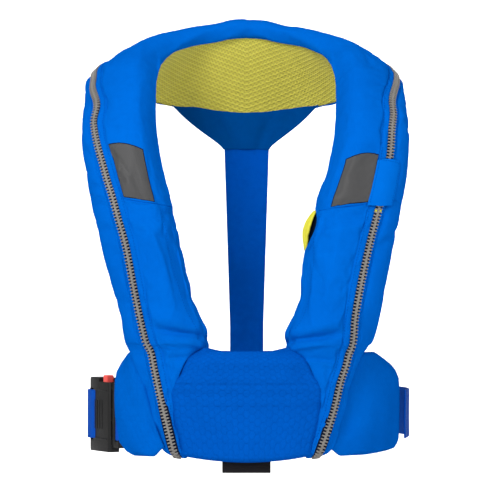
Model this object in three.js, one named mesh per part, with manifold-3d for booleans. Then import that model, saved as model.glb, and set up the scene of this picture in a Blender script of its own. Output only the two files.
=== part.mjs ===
// Inflatable horse-collar life jacket in its worn shape.
// Millimetres, +Z up, the front of the jacket faces -Y and +X is its left side as it is worn.
// The origin is the middle of the neck opening, level with the lower edge of the collar.

import * as THREE from "three";
import { mergeVertices } from "three/addons/utils/BufferGeometryUtils.js";
import Module from "manifold-3d";

const wasm = await Module();
wasm.setup();

// ---------- driving dimensions ----------

// The padded horseshoe: stations from the hem over the shoulder to the middle of the back.
// Each station has its neck-side edge, its outer edge, its height and the zip's distance from
// the outer edge.
const HALF_BAND = [
  { inner: [58.7, -101, -346], outer: [82, -95, -343], height: 20, zip: 10.5 },
  { inner: [66.4, -100, -294], outer: [94.3, -90, -293], height: 25, zip: 11 },
  { inner: [55.8, -102, -257], outer: [106, -84, -254], height: 31, zip: 14 },
  { inner: [40.4, -104, -234], outer: [120, -76, -232], height: 38, zip: 20 },
  { inner: [54, -100, -181], outer: [134, -71, -178], height: 42, zip: 23 },
  { inner: [67.5, -93, -125], outer: [147, -62, -120], height: 43, zip: 26 },
  { inner: [76.5, -86, -85.5], outer: [156, -53, -77], height: 42, zip: 24 },
  { inner: [88.5, -71, -30], outer: [165, -36, -24], height: 39, zip: 19 },
  { inner: [92, -52, 11], outer: [166, -12, 2], height: 36, zip: 17 },
  { inner: [90.5, -22, 45], outer: [160, 22, 20], height: 33, zip: 15 },
  { inner: [77, 18, 71], outer: [138, 62, 30], height: 29, zip: 14 },
  { inner: [44, 50, 96], outer: [88, 92, 17], height: 26, zip: 13 },
  { inner: [0, 62, 108], outer: [0, 100, 4], height: 24, zip: 13 },
];
const COVER_THICK = 2.2;          // padded cover fabric
const LINER_THICK = 3;            // spacer mesh on the body side
const BLADDER_HEIGHT = 5;         // folded bladder on the liner
const BLADDER_INSET = 6;          // bladder's distance from the cover's edges
const CREASE = 0.4;               // gap between layers that lie on each other
const SEAM_GAP = 1;               // gap where two panels are sewn edge to edge
const ZIP_WIDTH = 5.4;
const ZIP_PROUD = 1;              // how far the teeth stand above the cover
const TAPE_WIDTH = 17;
const TAPE_THICK = 0.8;
const SHOULDER = 9;               // station where lobe and collar panels meet
const BACK = HALF_BAND.length - 1; // station in the middle of the back
const HEM_FAR = 2 * BACK;         // hem of the other lobe

const PATCH_THICK = 0.8;
const PATCH_FROM = 5.45;          // stations of the reflective patches
const PATCH_TO = 6.6;
const TAB_THICK = 1.6;

// The torso that the waist parts wrap round.
const TORSO_HALF_WIDTH = 146;
const TORSO_HALF_DEPTH = 108;
const TORSO_SQUARENESS = 2.3;

const PANEL_THICK = 27;           // chest panel
const WING_THICK = 10;
const WING_CLEAR = 15;            // space under the buckle-side wing
const WEBBING_WIDTH = 50;
const WEBBING_THICK = 2;
const BELT_HEIGHT = -305;         // height of the belt's centre line

const STRAP_TOP_WIDTH = 48;
const STRAP_END_WIDTH = 36;
const STRAP_THICK = 2.4;
const STRAP_TOP = -28;
const STRAP_END = -262;
const LOOP_WALL = 2;
const LOOP_PLAY = 1;              // play of the belt in the strap's loop

const BUCKLE_TALL = 76;
const BUCKLE_LONG = 46;
const BUCKLE_THICK = 13;
const BUCKLE_WALL = 2.4;
const BUCKLE_CENTRE = [-146, -28];
const BUCKLE_TURN = 60;           // degrees between the buckle's length and the X axis
const BUCKLE_PLAY = 0.4;
const MALE_BASE_LONG = 14;
const PRONG_WIDTH = 7;
const SLOT_LONG = 5.5;            // webbing slot

const CYLINDER_RADIUS = 11;
const CYLINDER_LONG = 88;
const INFLATOR_WIDE = 32;
const INFLATOR_TALL = 38;
const INFLATOR_DEEP = 17;
const PIN_RADIUS = 2;
const PIN_PLAY = 0.35;
const LEVER_LONG = 24;
const LEVER_THICK = 4.6;
const CAP_RADIUS = 12;
const FIRING_RADIUS = 1.6;

const ORAL_RADIUS = 6;
const ORAL_BORE = 3.2;
const ORAL_LONG = 62;
const VALVE_RADIUS = 8;
const VALVE_LONG = 24;
const ORAL_CAP_RADIUS = 10;

// ---------- materials ----------

const finish = (color, roughness, metalness = 0) =>
  new THREE.MeshStandardMaterial({ color, roughness, metalness });
const blueFabric = finish(0x0464d6, 0.75);
const darkBlue = finish(0x0347a6, 0.8);
const meshFabric = finish(0xb9b440, 0.9);
const yellowFabric = finish(0xd8d23c, 0.6);
const greyPatch = finish(0x555555, 0.6);
const zipPlastic = finish(0x97918a, 0.5);
const blackPlastic = finish(0x1f1f1f, 0.45);
const redPlastic = finish(0xe8463f, 0.45);
const blackWebbing = finish(0x161616, 0.85);
const blueWebbing = finish(0x0347a6, 0.8);
const greyRubber = finish(0x3a3a3a, 0.8);
const steel = finish(0xb9bcc0, 0.3, 1);

// ---------- helpers ----------

const vec = (x, y, z) => new THREE.Vector3(x, y, z);
const root = new THREE.Group();

function add(name, geometry, material, parent = root) {
  const mesh = new THREE.Mesh(geometry, material);
  mesh.name = name;
  parent.add(mesh);
  return mesh;
}

function signedVolume(points, faces) {
  let sum = 0;
  for (const [a, b, c] of faces) {
    sum += points[a].dot(points[b].clone().cross(points[c]));
  }
  return sum;
}

// A closed solid through rings of points; outline holds the 2-D section that closes its ends.
function solidFromRings(rings, outline) {
  const size = rings[0].length;
  const points = rings.flat();
  const faces = [];
  for (let ring = 0; ring < rings.length - 1; ring += 1) {
    for (let side = 0; side < size; side += 1) {
      const next = (side + 1) % size;
      const a = ring * size + side;
      const b = ring * size + next;
      faces.push([a, b, b + size], [a, b + size, a + size]);
    }
  }
  const cap = (ring, backwards) => {
    const flat = outline(ring).map(([u, n]) => new THREE.Vector2(u, n));
    const sense = Math.sign(THREE.ShapeUtils.area(flat)) * (backwards ? -1 : 1);
    return THREE.ShapeUtils.triangulateShape(flat, []).map((face) => {
      const agrees = THREE.ShapeUtils.area(face.map((corner) => flat[corner])) * sense > 0;
      const [i, j, k] = face.map((corner) => corner + ring * size);
      return agrees ? [i, j, k] : [i, k, j];
    });
  };
  const all = [...faces, ...cap(0, true), ...cap(rings.length - 1, false)];
  const flip = signedVolume(points, all) < 0;
  const index = all.flatMap(([a, b, c]) => (flip ? [a, c, b] : [a, b, c]));
  const geometry = new THREE.BufferGeometry();
  geometry.setAttribute("position", new THREE.Float32BufferAttribute(
    points.flatMap((point) => point.toArray()), 3));
  geometry.setIndex(index);
  return geometry;
}

function toManifold(geometry) {
  const bare = geometry.clone();
  bare.deleteAttribute("normal");
  bare.deleteAttribute("uv");
  const merged = mergeVertices(bare, 1e-3);
  return new wasm.Manifold(new wasm.Mesh({
    numProp: 3,
    vertProperties: new Float32Array(merged.attributes.position.array),
    triVerts: new Uint32Array(merged.index.array),
  }));
}

function fromManifold(solid) {
  const mesh = solid.getMesh();
  const geometry = new THREE.BufferGeometry();
  geometry.setAttribute("position", new THREE.Float32BufferAttribute(mesh.vertProperties, 3));
  geometry.setIndex(Array.from(mesh.triVerts));
  return geometry;
}

const cut = (body, ...tools) => fromManifold(
  tools.reduce((solid, tool) => solid.subtract(toManifold(tool)), toManifold(body)));
const join = (body, ...extras) => fromManifold(
  extras.reduce((solid, extra) => solid.add(toManifold(extra)), toManifold(body)));
const box = (x, y, z, cx = 0, cy = 0, cz = 0) =>
  new THREE.BoxGeometry(x, y, z).translate(cx, cy, cz);

// A turned solid about its own Z axis from its half profile of [radius, height] points.
const turned = (profile, sides = 20) => new THREE.LatheGeometry(
  profile.map(([r, z]) => new THREE.Vector2(r, z)), sides).rotateX(Math.PI / 2);

// A flat outline in X and Y, extruded along Z.
function prism(points, height) {
  const shape = new THREE.Shape(points.map(([x, y]) => new THREE.Vector2(x, y)));
  return new THREE.ExtrudeGeometry(shape, { depth: height, bevelEnabled: false });
}
const holed = (points, hole, height) => cut(prism(points, height),
  prism(hole, height + 2).translate(0, 0, -1));

const rectangle = (wide, tall) => [[-wide / 2, -tall / 2], [wide / 2, -tall / 2],
  [wide / 2, tall / 2], [-wide / 2, tall / 2]];

function roundedRectangle(wide, tall, radius, steps = 4) {
  const points = [];
  for (let corner = 0; corner < 4; corner += 1) {
    const sx = corner === 0 || corner === 3 ? 1 : -1;
    const sy = corner < 2 ? 1 : -1;
    for (let step = 0; step <= steps; step += 1) {
      const angle = (corner + step / steps) * Math.PI / 2;
      points.push([sx * (wide / 2 - radius) + radius * Math.cos(angle),
        sy * (tall / 2 - radius) + radius * Math.sin(angle)]);
    }
  }
  return points;
}

// ---------- the padded horseshoe's own coordinates ----------

const mirrored = ([x, y, z]) => [-x, y, z];
const whole = (key) => [...HALF_BAND.map((station) => station[key]),
  ...HALF_BAND.slice(0, -1).reverse().map((station) => mirrored(station[key]))];
const innerCurve = new THREE.CatmullRomCurve3(whole("inner").map((p) => vec(...p)), false, "centripetal");
const outerCurve = new THREE.CatmullRomCurve3(whole("outer").map((p) => vec(...p)), false, "centripetal");
const innerAt = (s) => innerCurve.getPoint(s / HEM_FAR);
const outerAt = (s) => outerCurve.getPoint(s / HEM_FAR);

function listed(key, s) {
  const near = Math.min(s, HEM_FAR - s);
  const low = Math.min(Math.floor(near), BACK - 1);
  return THREE.MathUtils.lerp(HALF_BAND[low][key], HALF_BAND[low + 1][key], near - low);
}

function frameAt(s) {
  const start = innerAt(s);
  const across = outerAt(s).sub(start);
  const width = across.length();
  across.normalize();
  const a = Math.max(s - 0.02, 0);
  const b = Math.min(s + 0.02, HEM_FAR);
  const along = innerAt(b).add(outerAt(b)).sub(innerAt(a)).sub(outerAt(a)).normalize();
  const out = across.clone().cross(along).normalize();
  return { start, across, width, out, along: out.clone().cross(across).normalize() };
}

function place(frame, [u, n]) {
  return frame.start.clone().addScaledVector(frame.across, u).addScaledVector(frame.out, n);
}

const BASE = LINER_THICK + CREASE;
const ROUND_ACROSS = 0.75;        // superellipse powers of the padded section
const ROUND_UP = 0.6;
const signedPower = (value, power) => Math.sign(value) * Math.abs(value) ** power;

// A point of the padded section, moved inwards by depth, at distance u from the neck-side edge.
function archPoint(width, height, depth, u) {
  const half = width / 2 - depth;
  const ratio = THREE.MathUtils.clamp(1 - 2 * u / width, -1, 1);
  const cosine = signedPower(ratio, 1 / ROUND_ACROSS);
  const sine = Math.sqrt(Math.max(0, 1 - cosine * cosine));
  return [width / 2 - half * ratio, BASE + (height - depth - BASE) * sine ** ROUND_UP];
}

// The section of a strip of the cover between two distances from the neck-side edge.
function archStrip(width, height, from, to, top, bottom, steps) {
  const row = (depth, backwards) => {
    const points = [];
    for (let step = 0; step <= steps; step += 1) {
      const share = backwards ? 1 - step / steps : step / steps;
      const angle = (u) => Math.acos(THREE.MathUtils.clamp(1 - 2 * u / width, -1, 1));
      const turn = THREE.MathUtils.lerp(angle(from), angle(to), share);
      points.push(archPoint(width, height, depth, width / 2 * (1 - Math.cos(turn))));
    }
    return points;
  };
  return [...row(top, false), ...row(bottom, true)];
}

const spaced = (from, to, steps) =>
  Array.from({ length: steps + 1 }, (_, i) => from + (to - from) * i / steps);

// A solid that follows the horseshoe; section gives its outline in the band's own coordinates.
function along(stations, section) {
  const frames = stations.map((s) => frameAt(s));
  const outlines = stations.map((s, i) => section(s, frames[i]));
  const rings = frames.map((frame, i) => outlines[i].map((point) => place(frame, point)));
  return solidFromRings(rings, (index) => outlines[index]);
}

// A flat layer across the band, set in from both edges.
function slab(width, inset, low, high) {
  const segments = 6;
  const across = spaced(0, 1, segments).map((share) => inset + (width - 2 * inset) * share);
  return [...across.map((u) => [u, low]), ...across.reverse().map((u) => [u, high])];
}

const zipAt = (s, frame) => frame.width - listed("zip", s);
const stripAlong = (stations, edges, top, bottom, sides) => along(stations,
  (s, frame) => archStrip(frame.width, listed("height", s), ...edges(s, frame), top, bottom, sides));

// ---------- cover, zip, liner and bladder ----------

const ZIP_SLIT = ZIP_WIDTH / 2 + CREASE;
const frontEdges = (s, frame) => [0, zipAt(s, frame) - ZIP_SLIT];
const sideEdges = (s, frame) => [zipAt(s, frame) + ZIP_SLIT, frame.width];
const SECTOR_GAP = 0.012;         // stations left open between two lengths of the cover
const lengths = {
  right: spaced(0, SHOULDER - SECTOR_GAP, 18),
  collar: spaced(SHOULDER, HEM_FAR - SHOULDER, 16),
  left: spaced(HEM_FAR - SHOULDER + SECTOR_GAP, HEM_FAR, 18),
};

const WINDOW_STATION = 5.15;      // access window in the neck-side wall
const WINDOW_LONG = 44;
const WINDOW_DEEP = 9;
const WINDOW_TALL = 22;
const WINDOW_RISE = 13;           // height of its middle above the cover's foot

function windowCutter() {
  const frame = frameAt(WINDOW_STATION);
  const centre = place(frame, [0, BASE + WINDOW_RISE]);
  const cutter = new THREE.SphereGeometry(1, 14, 10)
    .scale(WINDOW_DEEP, WINDOW_TALL / 2, WINDOW_LONG / 2);
  const basis = new THREE.Matrix4().makeBasis(frame.across, frame.out.clone().negate(), frame.along);
  return cutter.applyMatrix4(basis.setPosition(centre));
}

for (const [side, stations] of Object.entries(lengths)) {
  const front = stripAlong(stations, frontEdges, 0, COVER_THICK, 8);
  const opened = side === "right" ? cut(front, windowCutter()) : front;
  add(`cover_front_${side}`, opened, blueFabric);
  add(`cover_side_${side}`, stripAlong(stations, sideEdges, 0, COVER_THICK, 4), blueFabric);
  const liner = along(stations, (s, frame) => slab(frame.width, 0, 0, LINER_THICK));
  add(side === "collar" ? "collar_liner" : `liner_${side}`, liner, meshFabric);
  const bladder = along(stations, (s, frame) => slab(frame.width, BLADDER_INSET, BASE + 2 * CREASE,
    BASE + BLADDER_HEIGHT));
  add(`bladder_${side}`, bladder, yellowFabric);
}

const tapeEdges = (s, frame) => [zipAt(s, frame) - Math.min(TAPE_WIDTH, listed("zip", s)) / 2,
  zipAt(s, frame) + Math.min(TAPE_WIDTH, listed("zip", s)) / 2];
const chainEdges = (s, frame) => [zipAt(s, frame) - ZIP_WIDTH / 2, zipAt(s, frame) + ZIP_WIDTH / 2];
const TAPE_TOP = COVER_THICK + 2 * CREASE;
const zipStations = [...lengths.right.slice(0, -1), ...lengths.collar, ...lengths.left.slice(1)];
add("zip_tape", stripAlong(zipStations, tapeEdges, TAPE_TOP, TAPE_TOP + TAPE_THICK, 2),
  darkBlue);
add("zip_chain", stripAlong(zipStations, chainEdges, -ZIP_PROUD, TAPE_TOP - CREASE, 1),
  zipPlastic);

// Slider and pull, parked in the middle of the back.
function sliderGroup() {
  const frame = frameAt(BACK);
  const spot = archPoint(frame.width, listed("height", BACK), -ZIP_PROUD, zipAt(BACK, frame));
  const before = archPoint(frame.width, listed("height", BACK), -ZIP_PROUD, zipAt(BACK, frame) - 2);
  const across = place(frame, spot).sub(place(frame, before)).normalize();
  const out = frame.along.clone().cross(across).normalize();
  const sense = Math.sign(out.dot(frame.out));
  const group = new THREE.Group();
  const basis = new THREE.Matrix4().makeBasis(frame.along.clone().multiplyScalar(sense), across,
    out.multiplyScalar(sense));
  group.applyMatrix4(basis.setPosition(place(frame, spot)));
  root.add(group);
  return group;
}
const SLIDER_LIFT = 0.9;
const SLIDER_THICK = 2.2;
const SLIDER_LONG = 11;
const SLIDER_WIDTH = 8;
const BRIDGE_LONG = 6;
const BRIDGE_WIDTH = 3;
const BRIDGE_TALL = 5.4;
const EYE = 2.6;                  // square eye of the bridge that the pull hangs in
const EYE_HEIGHT = SLIDER_LIFT + SLIDER_THICK + 2.2;
const PULL_LONG = 24;
const PULL_WIDTH = 6;
const PULL_THICK = 1.4;
const PULL_HOLE = [5, 3.8];
const PULL_HOLE_AT = 8.6;         // from the middle of the pull
const slider = sliderGroup();
const bridge = cut(
  box(BRIDGE_LONG, BRIDGE_WIDTH, BRIDGE_TALL, 0, 0, SLIDER_LIFT + SLIDER_THICK - 1 + BRIDGE_TALL / 2),
  box(EYE, BRIDGE_WIDTH + 1, EYE, 0, 0, EYE_HEIGHT));
const sliderPlate = prism(roundedRectangle(SLIDER_LONG, SLIDER_WIDTH, 3), SLIDER_THICK)
  .translate(0, 0, SLIDER_LIFT);
add("zip_slider", join(sliderPlate, bridge), zipPlastic, slider);
const pullHole = roundedRectangle(...PULL_HOLE, 1).map(([x, y]) => [x + PULL_HOLE_AT, y]);
const pullPlate = holed(roundedRectangle(PULL_LONG, PULL_WIDTH, 2.4), pullHole, PULL_THICK);
pullPlate.translate(PULL_WIDTH / 2 - PULL_LONG / 2 - 2.5, 0, -PULL_THICK / 2);
add("zip_pull", pullPlate, zipPlastic, slider).position.set(0, 0, EYE_HEIGHT);

// Reflective patches, the tab over the zip and the pale stop below it.
const patchEdges = (s, frame) => [12 + 9 * (s > BACK ? HEM_FAR - s - PATCH_FROM : s - PATCH_FROM),
  zipAt(s, frame) - 9];
const trim = (from, to, edges, lift, thick, sides = 4) =>
  stripAlong(spaced(from, to, 6), edges, -lift - thick, -lift, sides);
add("patch_right", trim(PATCH_FROM, PATCH_TO, patchEdges, CREASE, PATCH_THICK), greyPatch);
add("patch_left", trim(HEM_FAR - PATCH_TO - 0.2, HEM_FAR - PATCH_FROM - 0.1, patchEdges, CREASE,
  PATCH_THICK), greyPatch);
const tabEdges = (s, frame) => [zipAt(s, frame) - 8, zipAt(s, frame) + 10];
add("zip_tab", trim(PATCH_FROM, PATCH_TO - 0.1, tabEdges, ZIP_PROUD + CREASE, TAB_THICK), blueFabric);
add("zip_stop", trim(PATCH_FROM - 0.12, PATCH_FROM - 0.02, chainEdges, ZIP_PROUD + CREASE, 1, 1),
  yellowFabric);

// ---------- chest panel, wings and lower webbing tab ----------

const PANEL_TOP = 2.97;           // station that the panel's top reaches
const PANEL_SAG = 5;              // how far the middle of its top edge hangs
const PANEL_BOW = 4;              // how far it bows forward of its side edges
function chestPanel() {
  const rows = 9;
  const columns = 10;
  const outline = [];
  const rings = [];
  for (let row = 0; row <= rows; row += 1) {
    const s = THREE.MathUtils.lerp(0.02, PANEL_TOP, row / rows);
    const edge = innerAt(s);
    const half = edge.x - SEAM_GAP;
    const thick = PANEL_THICK * Math.min(1, 0.62 + 0.38 * row / 4);
    const body = (x) => edge.y - PANEL_BOW * (1 - (x / half) ** 2);
    const share = (i) => -half * Math.cos(Math.PI * i / columns);
    const backRow = Array.from({ length: columns + 1 }, (_, i) => [share(i), body(share(i))]);
    const frontRow = Array.from({ length: columns - 1 }, (_, i) => {
      const x = share(columns - 1 - i);
      return [x, body(x) - thick * (1 - (x / half) ** 4) ** 0.5];
    });
    const section = [...backRow, ...frontRow];
    outline.push(section);
    const sag = row === rows ? PANEL_SAG : 0;
    rings.push(section.map(([x, y]) => vec(x, y, edge.z - sag * (1 - (x / half) ** 2))));
  }
  return solidFromRings(rings, (index) => outline[index]);
}
add("chest_panel", chestPanel(), blueFabric);

// A point round the torso: phi runs from the front, n is the distance from the torso.
function torsoPoint(phi, n) {
  const power = 2 / TORSO_SQUARENESS;
  const x = TORSO_HALF_WIDTH * signedPower(Math.sin(phi), power);
  const y = -TORSO_HALF_DEPTH * signedPower(Math.cos(phi), power);
  const steep = TORSO_SQUARENESS - 1;
  const nx = signedPower(x / TORSO_HALF_WIDTH, steep) / TORSO_HALF_WIDTH;
  const ny = signedPower(y / TORSO_HALF_DEPTH, steep) / TORSO_HALF_DEPTH;
  const size = Math.hypot(nx, ny);
  return [x + n * nx / size, y + n * ny / size];
}

// The phi at which a wall standing n off the torso reaches x.
function phiAt(x, n) {
  let low = 0;
  let high = Math.PI / 2;
  for (let step = 0; step < 30; step += 1) {
    const middle = (low + high) / 2;
    if (torsoPoint(middle, n)[0] < x) low = middle;
    else high = middle;
  }
  return low;
}

// Height profile of a wing: its reach round the side at each height, in degrees.
const WING_ROWS = [-342, -338, -330, -305, -280, -268, -262, -252, -243];
const WING_STATIONS = [0.08, 0.16, 0.3, 0.8, 1.3, 1.7, 1.85, 2.2, 2.6];
const WING_SEAT = 8;              // space between the other wing and the torso
const WING_LIMIT = {
  right: [50, 66, 80, 82, 83, 83, 78, 66, 58],
  left: [44, 47, 49, 51, 52, 53, 53, 53, 52],
};
function wing(side) {
  const lift = side === "left" ? WING_CLEAR : WING_SEAT;
  const columns = 8;
  const outlines = [];
  const rings = WING_ROWS.map((z, row) => {
    const station = WING_STATIONS[row];
    const edge = outerAt(station);
    const frame = frameAt(station);
    const startAt = (n) => phiAt(edge.x + frame.out.x * n + 2 * SEAM_GAP, n);
    const end = Math.max(THREE.MathUtils.degToRad(WING_LIMIT[side][row]), startAt(lift) + 0.08);
    const slim = row === 0 || row === WING_ROWS.length - 1 ? 0.5 : 1;
    const swell = (share) => 0.35 + 0.65 * Math.sin(Math.PI * (0.15 + 0.7 * share));
    const thick = (share) => WING_THICK * slim * swell(share);
    const sign = side === "left" ? -1 : 1;
    const line = (share, n) => {
      const [x, y] = torsoPoint(THREE.MathUtils.lerp(startAt(n), end, share), n);
      return [sign * x, y];
    };
    const shares = Array.from({ length: columns + 1 }, (_, i) => i / columns);
    const section = [...shares.map((share) => line(share, lift)),
      ...shares.reverse().map((share) => line(share, lift + thick(share)))];
    outlines.push(section);
    return section.map(([x, y]) => vec(x, y, z));
  });
  return solidFromRings(rings, (index) => outlines[index]);
}
add("wing_right", wing("right"), blueFabric);
add("wing_left", wing("left"), blueFabric);

// A folded loop of webbing below the chest panel.
const HEM_TAB_DROP = 13;
const HEM_TAB_THICK = 1.8;
const HEM_TAB_AHEAD = 12;         // how far it hangs in front of the panel's back
function hemTab() {
  const edge = innerAt(0.02);
  const y = edge.y - HEM_TAB_AHEAD;
  const gap = 1.2;
  const turn = 2 * HEM_TAB_THICK;
  const outer = roundedRectangle(turn + gap, HEM_TAB_DROP, HEM_TAB_THICK, 3);
  const inner = rectangle(gap, HEM_TAB_DROP - turn).map(([a, b]) => [a, b + turn]);
  const loop = cut(prism(outer, WEBBING_WIDTH), prism(inner, WEBBING_WIDTH + 2).translate(0, 0, -1));
  loop.rotateX(Math.PI / 2).rotateZ(Math.PI / 2).translate(-WEBBING_WIDTH / 2, 0, 0);
  return loop.translate(0, y, edge.z - CREASE - HEM_TAB_DROP / 2);
}
add("hem_tab", hemTab(), blackWebbing);

// ---------- back strap and belt ----------

const BELT_PATH = [[163, -31], [165.6, -14], [168.6, 8], [166, 34], [156, 60], [132, 86], [92, 105],
  [44, 113], [0, 115], [-44, 113], [-92, 105], [-132, 85], [-154, 54], [-163, 22], [-161, 6]];

function webbingAlong(points, steps, width, thick, z) {
  const curve = new THREE.CatmullRomCurve3(points.map(([x, y]) => vec(x, y, z)), false, "centripetal");
  const outlines = [];
  const rings = [];
  for (let step = 0; step <= steps; step += 1) {
    const point = curve.getPoint(step / steps);
    const direction = curve.getTangent(step / steps);
    const side = vec(-direction.y, direction.x, 0).normalize();
    const section = rectangle(thick, width);
    outlines.push(section);
    rings.push(section.map(([a, b]) => point.clone().addScaledVector(side, a).add(vec(0, 0, b))));
  }
  return solidFromRings(rings, (index) => outlines[index]);
}
add("belt_webbing", webbingAlong(BELT_PATH, 42, WEBBING_WIDTH, WEBBING_THICK, BELT_HEIGHT), blueWebbing);

const BELT_BACK = BELT_PATH.find(([x]) => x === 0)[1];
const loopOuter = roundedRectangle(WEBBING_THICK + 2 * (LOOP_PLAY + LOOP_WALL),
  WEBBING_WIDTH + 2 * (LOOP_PLAY + LOOP_WALL), 2, 3);
const loopInner = rectangle(WEBBING_THICK + 2 * LOOP_PLAY, WEBBING_WIDTH + 2 * LOOP_PLAY);
const strapLoop = holed(loopOuter, loopInner, STRAP_END_WIDTH);
strapLoop.rotateX(Math.PI / 2).rotateZ(Math.PI / 2).translate(-STRAP_END_WIDTH / 2, 0, 0);
add("strap_loop", strapLoop.translate(0, BELT_BACK, BELT_HEIGHT), darkBlue);

const LOOP_TOP = BELT_HEIGHT + WEBBING_WIDTH / 2 + LOOP_PLAY + LOOP_WALL;
function strapDepth(z) {
  const share = THREE.MathUtils.clamp((STRAP_TOP - z) / (STRAP_TOP - STRAP_END), 0, 1);
  return THREE.MathUtils.lerp(outerAt(BACK).y + 1, BELT_BACK, share) + 6 * Math.sin(Math.PI * share);
}
function backStrap() {
  const outlines = [];
  const rings = [];
  const rows = 14;
  for (let row = 0; row <= rows; row += 1) {
    const share = row / rows;
    const z = THREE.MathUtils.lerp(STRAP_TOP - CREASE, LOOP_TOP + CREASE, share);
    const width = THREE.MathUtils.lerp(STRAP_TOP_WIDTH, STRAP_END_WIDTH, Math.min(1, share * 1.3));
    const section = rectangle(width, STRAP_THICK);
    outlines.push(section);
    rings.push(section.map(([x, y]) => vec(x, strapDepth(z) + y, z)));
  }
  return solidFromRings(rings, (index) => outlines[index]);
}
add("back_strap", backStrap(), darkBlue);

// The gusset spreads the strap out along the collar's lower edge.
function gusset() {
  const columns = 12;
  const reach = 0.78;             // stations either side of the middle of the back
  const outlines = [];
  const rings = [];
  for (let column = 0; column <= columns; column += 1) {
    const s = BACK - reach + 2 * reach * column / columns;
    const edge = outerAt(s);
    const top = edge.z - 2.5;
    const spread = Math.abs(s - BACK) / reach;
    const bottom = THREE.MathUtils.lerp(STRAP_TOP, top - 2, Math.max(0, spread - 0.35) / 0.65);
    const x = edge.x * (1 - 0.12 * spread);
    const section = [[-STRAP_THICK / 2, bottom], [STRAP_THICK / 2, bottom],
      [STRAP_THICK / 2, top], [-STRAP_THICK / 2, top]];
    outlines.push(section);
    const y = (z) => THREE.MathUtils.lerp(edge.y + 1, outerAt(BACK).y + 1, (top - z) / (top - STRAP_TOP));
    rings.push(section.map(([a, z]) => vec(x, y(z) + a, z)));
  }
  return solidFromRings(rings, (index) => outlines[index]);
}
add("strap_gusset", gusset(), darkBlue);

// ---------- buckle ----------
// Its own frame: X runs back along the belt, Y points away from the wearer, Z is up.

const buckle = new THREE.Group();
buckle.position.set(...BUCKLE_CENTRE, BELT_HEIGHT);
buckle.rotation.z = THREE.MathUtils.degToRad(180 - BUCKLE_TURN);
root.add(buckle);

const SIDE_RAIL = 4;              // solid rail above and below the cavity
const CAVITY_TALL = BUCKLE_TALL - 2 * BUCKLE_WALL - 2 * SIDE_RAIL;
const CAVITY_THICK = BUCKLE_THICK - 2 * BUCKLE_WALL;
const CAVITY_LONG = 30;
const WINDOW_LENGTH = 15;         // the openings that the prongs are pressed through
const REAR_BAR = 4;
const SLOT_ROOM = 3;              // play of the webbing's width in a slot
const CORNER_CUT = 20;
const FRONT = -BUCKLE_LONG / 2;
const SLOT_AT = BUCKLE_LONG / 2 - REAR_BAR - SLOT_LONG / 2;
function buckleFemale() {
  const outline = roundedRectangle(BUCKLE_LONG, BUCKLE_THICK, 4, 4);
  const shape = prism(outline, BUCKLE_TALL).translate(0, 0, -BUCKLE_TALL / 2);
  const cavity = box(CAVITY_LONG + 1, CAVITY_THICK, CAVITY_TALL, FRONT + CAVITY_LONG / 2 - 0.5);
  const windows = [1, -1].map((sign) => box(WINDOW_LENGTH, CAVITY_THICK - 1, BUCKLE_TALL,
    FRONT + 14, 0, sign * BUCKLE_TALL / 2));
  const slot = box(SLOT_LONG, BUCKLE_THICK + 2, WEBBING_WIDTH + SLOT_ROOM, SLOT_AT);
  const chamfers = [1, -1].map((sign) => box(CORNER_CUT, BUCKLE_THICK + 2, CORNER_CUT)
    .rotateY(Math.PI / 4).translate(BUCKLE_LONG / 2 + CORNER_CUT / 4, 0,
      sign * (BUCKLE_TALL / 2 + CORNER_CUT / 4)));
  return cut(shape, cavity, ...windows, slot, ...chamfers);
}
add("buckle_female", buckleFemale(), blackPlastic, buckle);

// The webbing's end wraps round the buckle's rear bar.
function webbingWrap(barThick, barLong, centre) {
  const play = 0.5;
  const wall = play + WEBBING_THICK;
  const outer = roundedRectangle(barLong + 2 * wall, barThick + 2 * wall, 2.4, 3);
  const inner = rectangle(barLong + 2 * play, barThick + 2 * play);
  return holed(outer, inner, WEBBING_WIDTH).translate(centre, 0, -WEBBING_WIDTH / 2);
}
add("belt_end_loop", webbingWrap(BUCKLE_THICK, REAR_BAR, BUCKLE_LONG / 2 - REAR_BAR / 2), blueWebbing,
  buckle);

// The male part: base with its webbing slot, a centre guide and two side prongs.
const male = new THREE.Group();
buckle.add(male);
const MALE_THICK = CAVITY_THICK - 2 * BUCKLE_PLAY;
const MALE_TALL = CAVITY_TALL - 2 * BUCKLE_PLAY;
const BASE_FROM = FRONT - MALE_BASE_LONG;
const BASE_TO = FRONT - BUCKLE_PLAY;
const MALE_BAR = 3.4;
const MALE_SLOT_LONG = 5.2;
const MALE_SLOT = BASE_FROM + MALE_BAR + MALE_SLOT_LONG / 2;
const BASE_RIM = 4;               // the base stands this much taller than the cavity
const GUIDE_LONG = 24;
const GUIDE_TALL = 12;
function buckleMale() {
  const long = BASE_TO - BASE_FROM;
  const base = box(long, MALE_THICK, MALE_TALL + BASE_RIM, (BASE_FROM + BASE_TO) / 2);
  const guide = box(GUIDE_LONG, MALE_THICK - 2, GUIDE_TALL, BASE_TO + GUIDE_LONG / 2 - 1);
  const slot = box(MALE_SLOT_LONG, MALE_THICK + 2, WEBBING_WIDTH + SLOT_ROOM, MALE_SLOT);
  return cut(join(base, guide), slot);
}
add("buckle_male", buckleMale(), blackPlastic, male);

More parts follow.
